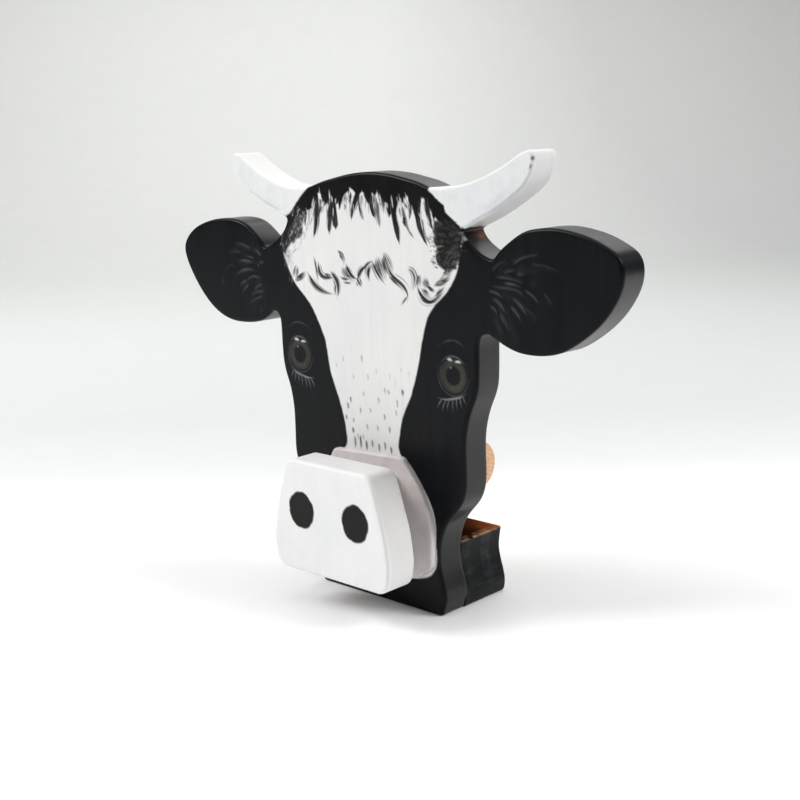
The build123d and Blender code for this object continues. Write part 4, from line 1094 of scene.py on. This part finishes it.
def painted(name, grain_axis="Z", black_rough=0.32, white_rough=0.46, gloss=0.40, streaky=1.0, even_gloss=False):
    """Hand-brushed paint over wood: brush streaks, thin spots, grain telegraphing through."""
    m, nt, p = material(name)
    at = attribute(nt, "paint")
    cov = attribute(nt, "cover").outputs["Fac"]
    streak_scale = {"Z": (900, 900, 55), "X": (55, 900, 900), "Y": (900, 55, 900)}[grain_axis]
    grain_scale = {"Z": (260, 260, 16), "X": (16, 260, 260), "Y": (260, 16, 260)}[grain_axis]
    streak = noise(nt, coords(nt, streak_scale), 1.0, 3.0, 0.6)
    grain = noise(nt, coords(nt, grain_scale, (3, 5, 7)), 1.0, 4.0, 0.6, 0.6)
    blot = noise(nt, coords(nt, (1, 1, 1), (9, 2, 4)), 60, 3.0, 0.55)
    fine = noise(nt, coords(nt, (1, 1, 1), (1, 8, 2)), 1500, 2.0, 0.5)
    def pale(*c):
        return tuple(1 - (1 - v) * streaky for v in c)

    s1 = ramp(nt, streak, [(0.30, pale(0.93, 0.93, 0.935)), (0.52, (1, 1, 1)), (0.75, pale(0.965, 0.965, 0.96))])
    s2 = ramp(nt, grain, [(0.32, pale(0.945, 0.945, 0.95)), (0.55, (1, 1, 1))])
    s3 = ramp(nt, blot, [(0.30, (0.95, 0.955, 0.965)), (0.60, (1, 1, 0.995))])
    light = mix(nt, "MULTIPLY", 1.0, mix(nt, "MULTIPLY", 1.0, s1, s2), s3)
    d1 = ramp(nt, grain, [(0.35, (0.80, 0.82, 0.86)), (0.7, (1.25, 1.25, 1.25))])
    d2 = ramp(nt, blot, [(0.35, (0.75, 0.80, 0.86)), (0.65, (1.30, 1.28, 1.25))])
    dark = mix(nt, "MULTIPLY", 1.0, d1, d2)
    tone = mix(nt, "MIX", cov, dark, light)
    col = mix(nt, "MULTIPLY", 1.0, at.outputs["Color"], tone)
    nt.links.new(col, p.inputs["Base Color"])
    rough_w = math_node(nt, "ADD", math_node(nt, "MULTIPLY", streak, 0.12), white_rough - 0.06)
    rough_b = math_node(nt, "ADD", math_node(nt, "MULTIPLY", blot, 0.16), black_rough - 0.08)
    mixr = nt.nodes.new("ShaderNodeMix")
    mixr.data_type = "FLOAT"
    nt.links.new(cov, mixr.inputs[0])
    nt.links.new(rough_b, mixr.inputs[2])
    nt.links.new(rough_w, mixr.inputs[3])
    nt.links.new(mixr.outputs[0], p.inputs["Roughness"])
    if even_gloss:
        p.inputs["Specular IOR Level"].default_value = gloss
    else:
        sh = attribute(nt, "sheen").outputs["Fac"]
        nt.links.new(math_node(nt, "ADD", math_node(nt, "MULTIPLY", sh, gloss - 0.10), 0.10), p.inputs["Specular IOR Level"])
    h = math_node(nt, "ADD", math_node(nt, "MULTIPLY", streak, 0.9), math_node(nt, "MULTIPLY", grain, 1.2))
    h = math_node(nt, "ADD", h, math_node(nt, "MULTIPLY", fine, 0.25))
    nt.links.new(bump(nt, h, 0.30, 0.00010), p.inputs["Normal"])
    return m


mat_board = painted("board_paint", streaky=0.55)
board.data.materials.append(mat_board)
mat_muz = painted("muzzle_paint", black_rough=0.6, white_rough=0.5, gloss=0.2, streaky=0.30, even_gloss=True)
muzzle.data.materials.append(mat_muz)
mat_sp = painted("spacer_paint", white_rough=0.55, streaky=0.4, even_gloss=True)
spacer.data.materials.append(mat_sp)
plate_o.data.materials.append(mat_sp)
mat_foot = painted("foot_paint", grain_axis="X", black_rough=0.5, gloss=0.20)
foot.data.materials.append(mat_foot)


def bare_wood(name, light_c, dark_c, axis="X", rough=0.55, ring_scale=260):
    m, nt, p = material(name)
    sc = {"X": (14, 420, 420), "Y": (420, 14, 420), "Z": (420, 420, 14)}[axis]
    fibre = noise(nt, coords(nt, sc), 1.0, 4.0, 0.6)
    vec = coords(nt, (1, 1, 1), (0.011, 0.002, 0.006))
    wave = nt.nodes.new("ShaderNodeTexWave")
    wave.wave_type = "RINGS"
    wave.rings_direction = axis
    wave.inputs["Scale"].default_value = ring_scale
    wave.inputs["Distortion"].default_value = 3.0
    wave.inputs["Detail"].default_value = 2.0
    wave.inputs["Detail Scale"].default_value = 0.6
    nt.links.new(vec, wave.inputs["Vector"])
    pores = noise(nt, coords(nt, {"X": (90, 1500, 1500), "Y": (1500, 90, 1500), "Z": (1500, 1500, 90)}[axis]), 1.0, 1.0)
    mid = tuple((a + b) / 2 for a, b in zip(light_c, dark_c))
    base = ramp(nt, wave.outputs["Fac"], [(0.0, light_c), (0.6, tuple(0.75 * a + 0.25 * b for a, b in zip(light_c, dark_c))), (1.0, mid)])
    fib = ramp(nt, fibre, [(0.3, (0.84, 0.80, 0.76)), (0.6, (1, 1, 1))])
    por = ramp(nt, pores, [(0.30, (0.72, 0.66, 0.60)), (0.38, (1, 1, 1))])
    nt.links.new(mix(nt, "MULTIPLY", 1.0, mix(nt, "MULTIPLY", 1.0, base, fib), por), p.inputs["Base Color"])
    nt.links.new(math_node(nt, "ADD", math_node(nt, "MULTIPLY", fibre, 0.2), rough - 0.1), p.inputs["Roughness"])
    h = math_node(nt, "ADD", math_node(nt, "MULTIPLY", fibre, 0.7), math_node(nt, "MULTIPLY", pores, 0.6))
    nt.links.new(bump(nt, h, 0.35, 0.00008), p.inputs["Normal"])
    return m


bar.data.materials.append(bare_wood("rest_wood", (0.86, 0.53, 0.32), (0.66, 0.36, 0.19)))


def steel(name):
    m, nt, p = material(name)
    n_ = noise(nt, coords(nt, (1, 1, 1)), 900, 3.0)
    nt.links.new(ramp(nt, n_, [(0.3, (0.52, 0.50, 0.44)), (0.7, (0.68, 0.66, 0.60))]), p.inputs["Base Color"])
    nt.links.new(math_node(nt, "ADD", math_node(nt, "MULTIPLY", n_, 0.25), 0.2), p.inputs["Roughness"])
    p.inputs["Metallic"].default_value = 1.0
    nt.links.new(bump(nt, n_, 0.2, 0.00005), p.inputs["Normal"])
    return m


hidden_wood = bare_wood("dowel_wood", (0.62, 0.44, 0.27), (0.46, 0.29, 0.16), axis="Y")
for node, mat in (("blind_dowels", hidden_wood), ("rest_pins", hidden_wood), ("foot_screws", steel("screw_steel"))):
    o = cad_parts[node]
    if not o.data.materials:
        o.data.materials.append(mat)
    for slot_ in o.material_slots:
        slot_.material = mat

# ================================================================== stage, light, camera
AWAY = (-0.6876, 0.7261)      # level direction from the lens past the object


def sweep():
    """Pale table that runs back and curves up into the backdrop."""
    ax, ay = AWAY
    bx, by = ay, -ax
    prof = [(-0.9, 0.0), (-0.6, 0.0), (-0.3, 0.0), (0.0, 0.0), (0.3, 0.0), (0.6, 0.0), (0.9, 0.0)]
    R_ = 0.7
    for k in range(1, 17):
        a = math.radians(90 * k / 16)
        prof.append((0.9 + R_ * math.sin(a), R_ * (1 - math.cos(a))))
    prof.append((0.9 + R_, 1.8))
    cols = [-1.6 + 3.2 * k / 16 for k in range(17)]
    verts = [(ax * s_ + bx * c, ay * s_ + by * c, h) for s_, h in prof for c in cols]
    w = len(cols)
    faces = [(i * w + j, (i + 1) * w + j, (i + 1) * w + j + 1, i * w + j + 1) for i in range(len(prof) - 1) for j in range(w - 1)]
    me = bpy.data.meshes.new("sweep")
    me.from_pydata(verts, [], faces)
    me.polygons.foreach_set("use_smooth", [True] * len(me.polygons))
    me.update()
    o = bpy.data.objects.new("sweep", me)
    bpy.context.scene.collection.objects.link(o)
    m, nt, p = material("sweep_paper")
    tc = nt.nodes.new("ShaderNodeTexCoord")
    sep = nt.nodes.new("ShaderNodeSeparateXYZ")
    nt.links.new(tc.outputs["Object"], sep.inputs[0])
    along = math_node(nt, "ADD", math_node(nt, "MULTIPLY", sep.outputs[0], ax), math_node(nt, "MULTIPLY", sep.outputs[1], ay))
    across = math_node(nt, "ADD", math_node(nt, "MULTIPLY", sep.outputs[0], bx), math_node(nt, "MULTIPLY", sep.outputs[1], by))
    # paper colour dips and rises with distance: painted light and shade standing in for the light's falloff over the
    # floor and curve
    far = ramp(nt, math_node(nt, "MULTIPLY", math_node(nt, "ADD", along, 0.2), 0.5, True),
               [(0.0, (0.92, 0.92, 0.92)), (0.12, (0.91, 0.91, 0.91)), (0.15, (0.80, 0.805, 0.80)), (0.18, (0.70, 0.71, 0.705)), (0.225, (0.655, 0.665, 0.66)),
                (0.36, (0.675, 0.69, 0.68)), (0.46, (0.69, 0.705, 0.69)), (0.65, (0.80, 0.81, 0.795)), (0.82, (0.95, 0.96, 0.935))])
    grain = noise(nt, coords(nt, (1, 1, 1)), 40.0, 2.0)
    soft = ramp(nt, grain, [(0.3, (0.985, 0.985, 0.985)), (0.7, (1, 1, 1))])
    side = math_node(nt, "MULTIPLY", math_node(nt, "MAXIMUM", across, -0.1), math_node(nt, "MAXIMUM", along, 0.0))
    # darker toward the far right: painted shade
    right_painted_shade = ramp(nt, math_node(nt, "ADD", side, 0.1, True), [(0.08, (1, 1, 1)), (0.50, (0.80, 0.80, 0.805))])
    both_ = mix(nt, "MULTIPLY", 1.0, far, right_painted_shade)
    nt.links.new(mix(nt, "MULTIPLY", 1.0, both_, soft), p.inputs["Base Color"])
    p.inputs["Roughness"].default_value = 0.9
    p.inputs["Specular IOR Level"].default_value = 0.1
    me.materials.append(m)
    return o


sweep()


def area(name, loc, target, size, power, colour=(1, 1, 1), size_y=None):
    d = bpy.data.lights.new(name, "AREA")
    d.shape = "RECTANGLE"
    d.size = size
    d.size_y = size_y or size
    d.energy = power
    d.color = colour
    o = bpy.data.objects.new(name, d)
    o.location = loc
    o.rotation_mode = "QUATERNION"
    o.rotation_quaternion = (Vector(target) - Vector(loc)).to_track_quat("-Z", "Y")
    bpy.context.scene.collection.objects.link(o)
    return o


area("top_soft", (0.10, 0.10, 1.20), (0, 0.05, 0), 1.2, 7.5)
area("front_left", (-0.72, -0.62, 0.85), (0, 0, 0.07), 0.6, 13.0)
area("right_over", (0.62, 0.30, 0.62), (0.30, 0.24, 0.0), 0.35, 4.6)
area("back_top", (-0.35, 0.95, 1.00), (0, 0, 0.08), 0.7, 2.4)
area("backdrop_wash", (-0.42, 0.34, 0.85), (-1.10, 1.15, 0.46), 0.7, 3.1)

world = bpy.data.worlds.new("world")
world.use_nodes = True
world.node_tree.nodes["Background"].inputs[0].default_value = (0.93, 0.95, 0.96, 1)
world.node_tree.nodes["Background"].inputs[1].default_value = 0.06
bpy.context.scene.world = world
bpy.context.scene.view_settings.view_transform = "Standard"
bpy.context.scene.view_settings.look = "None"

cam_d = bpy.data.cameras.new("camera")
cam = bpy.data.objects.new("camera", cam_d)
bpy.context.scene.collection.objects.link(cam)
bpy.context.scene.camera = cam
yaw, pitch, roll = 0.75811689, 0.210497562, -0.0293332735
fw = Vector((-math.sin(yaw) * math.cos(pitch), math.cos(yaw) * math.cos(pitch), -math.sin(pitch)))
right = Vector((math.cos(yaw), math.sin(yaw), 0))
up = right.cross(fw)
r2 = right * math.cos(roll) + up * math.sin(roll)
u2 = -right * math.sin(roll) + up * math.cos(roll)
cam.matrix_world = Matrix(((r2.x, u2.x, -fw.x, 0.276339 * U), (r2.y, u2.y, -fw.y, -0.279736 * U - 0.00435),
                           (r2.z, u2.z, -fw.z, (0.148378 + 0.0012) * U), (0, 0, 0, 1)))
cam_d.sensor_width = 36.0
cam_d.lens = 1276.2161 / 800 * 36.0
cam_d.clip_start = 0.01
cam_d.clip_end = 20
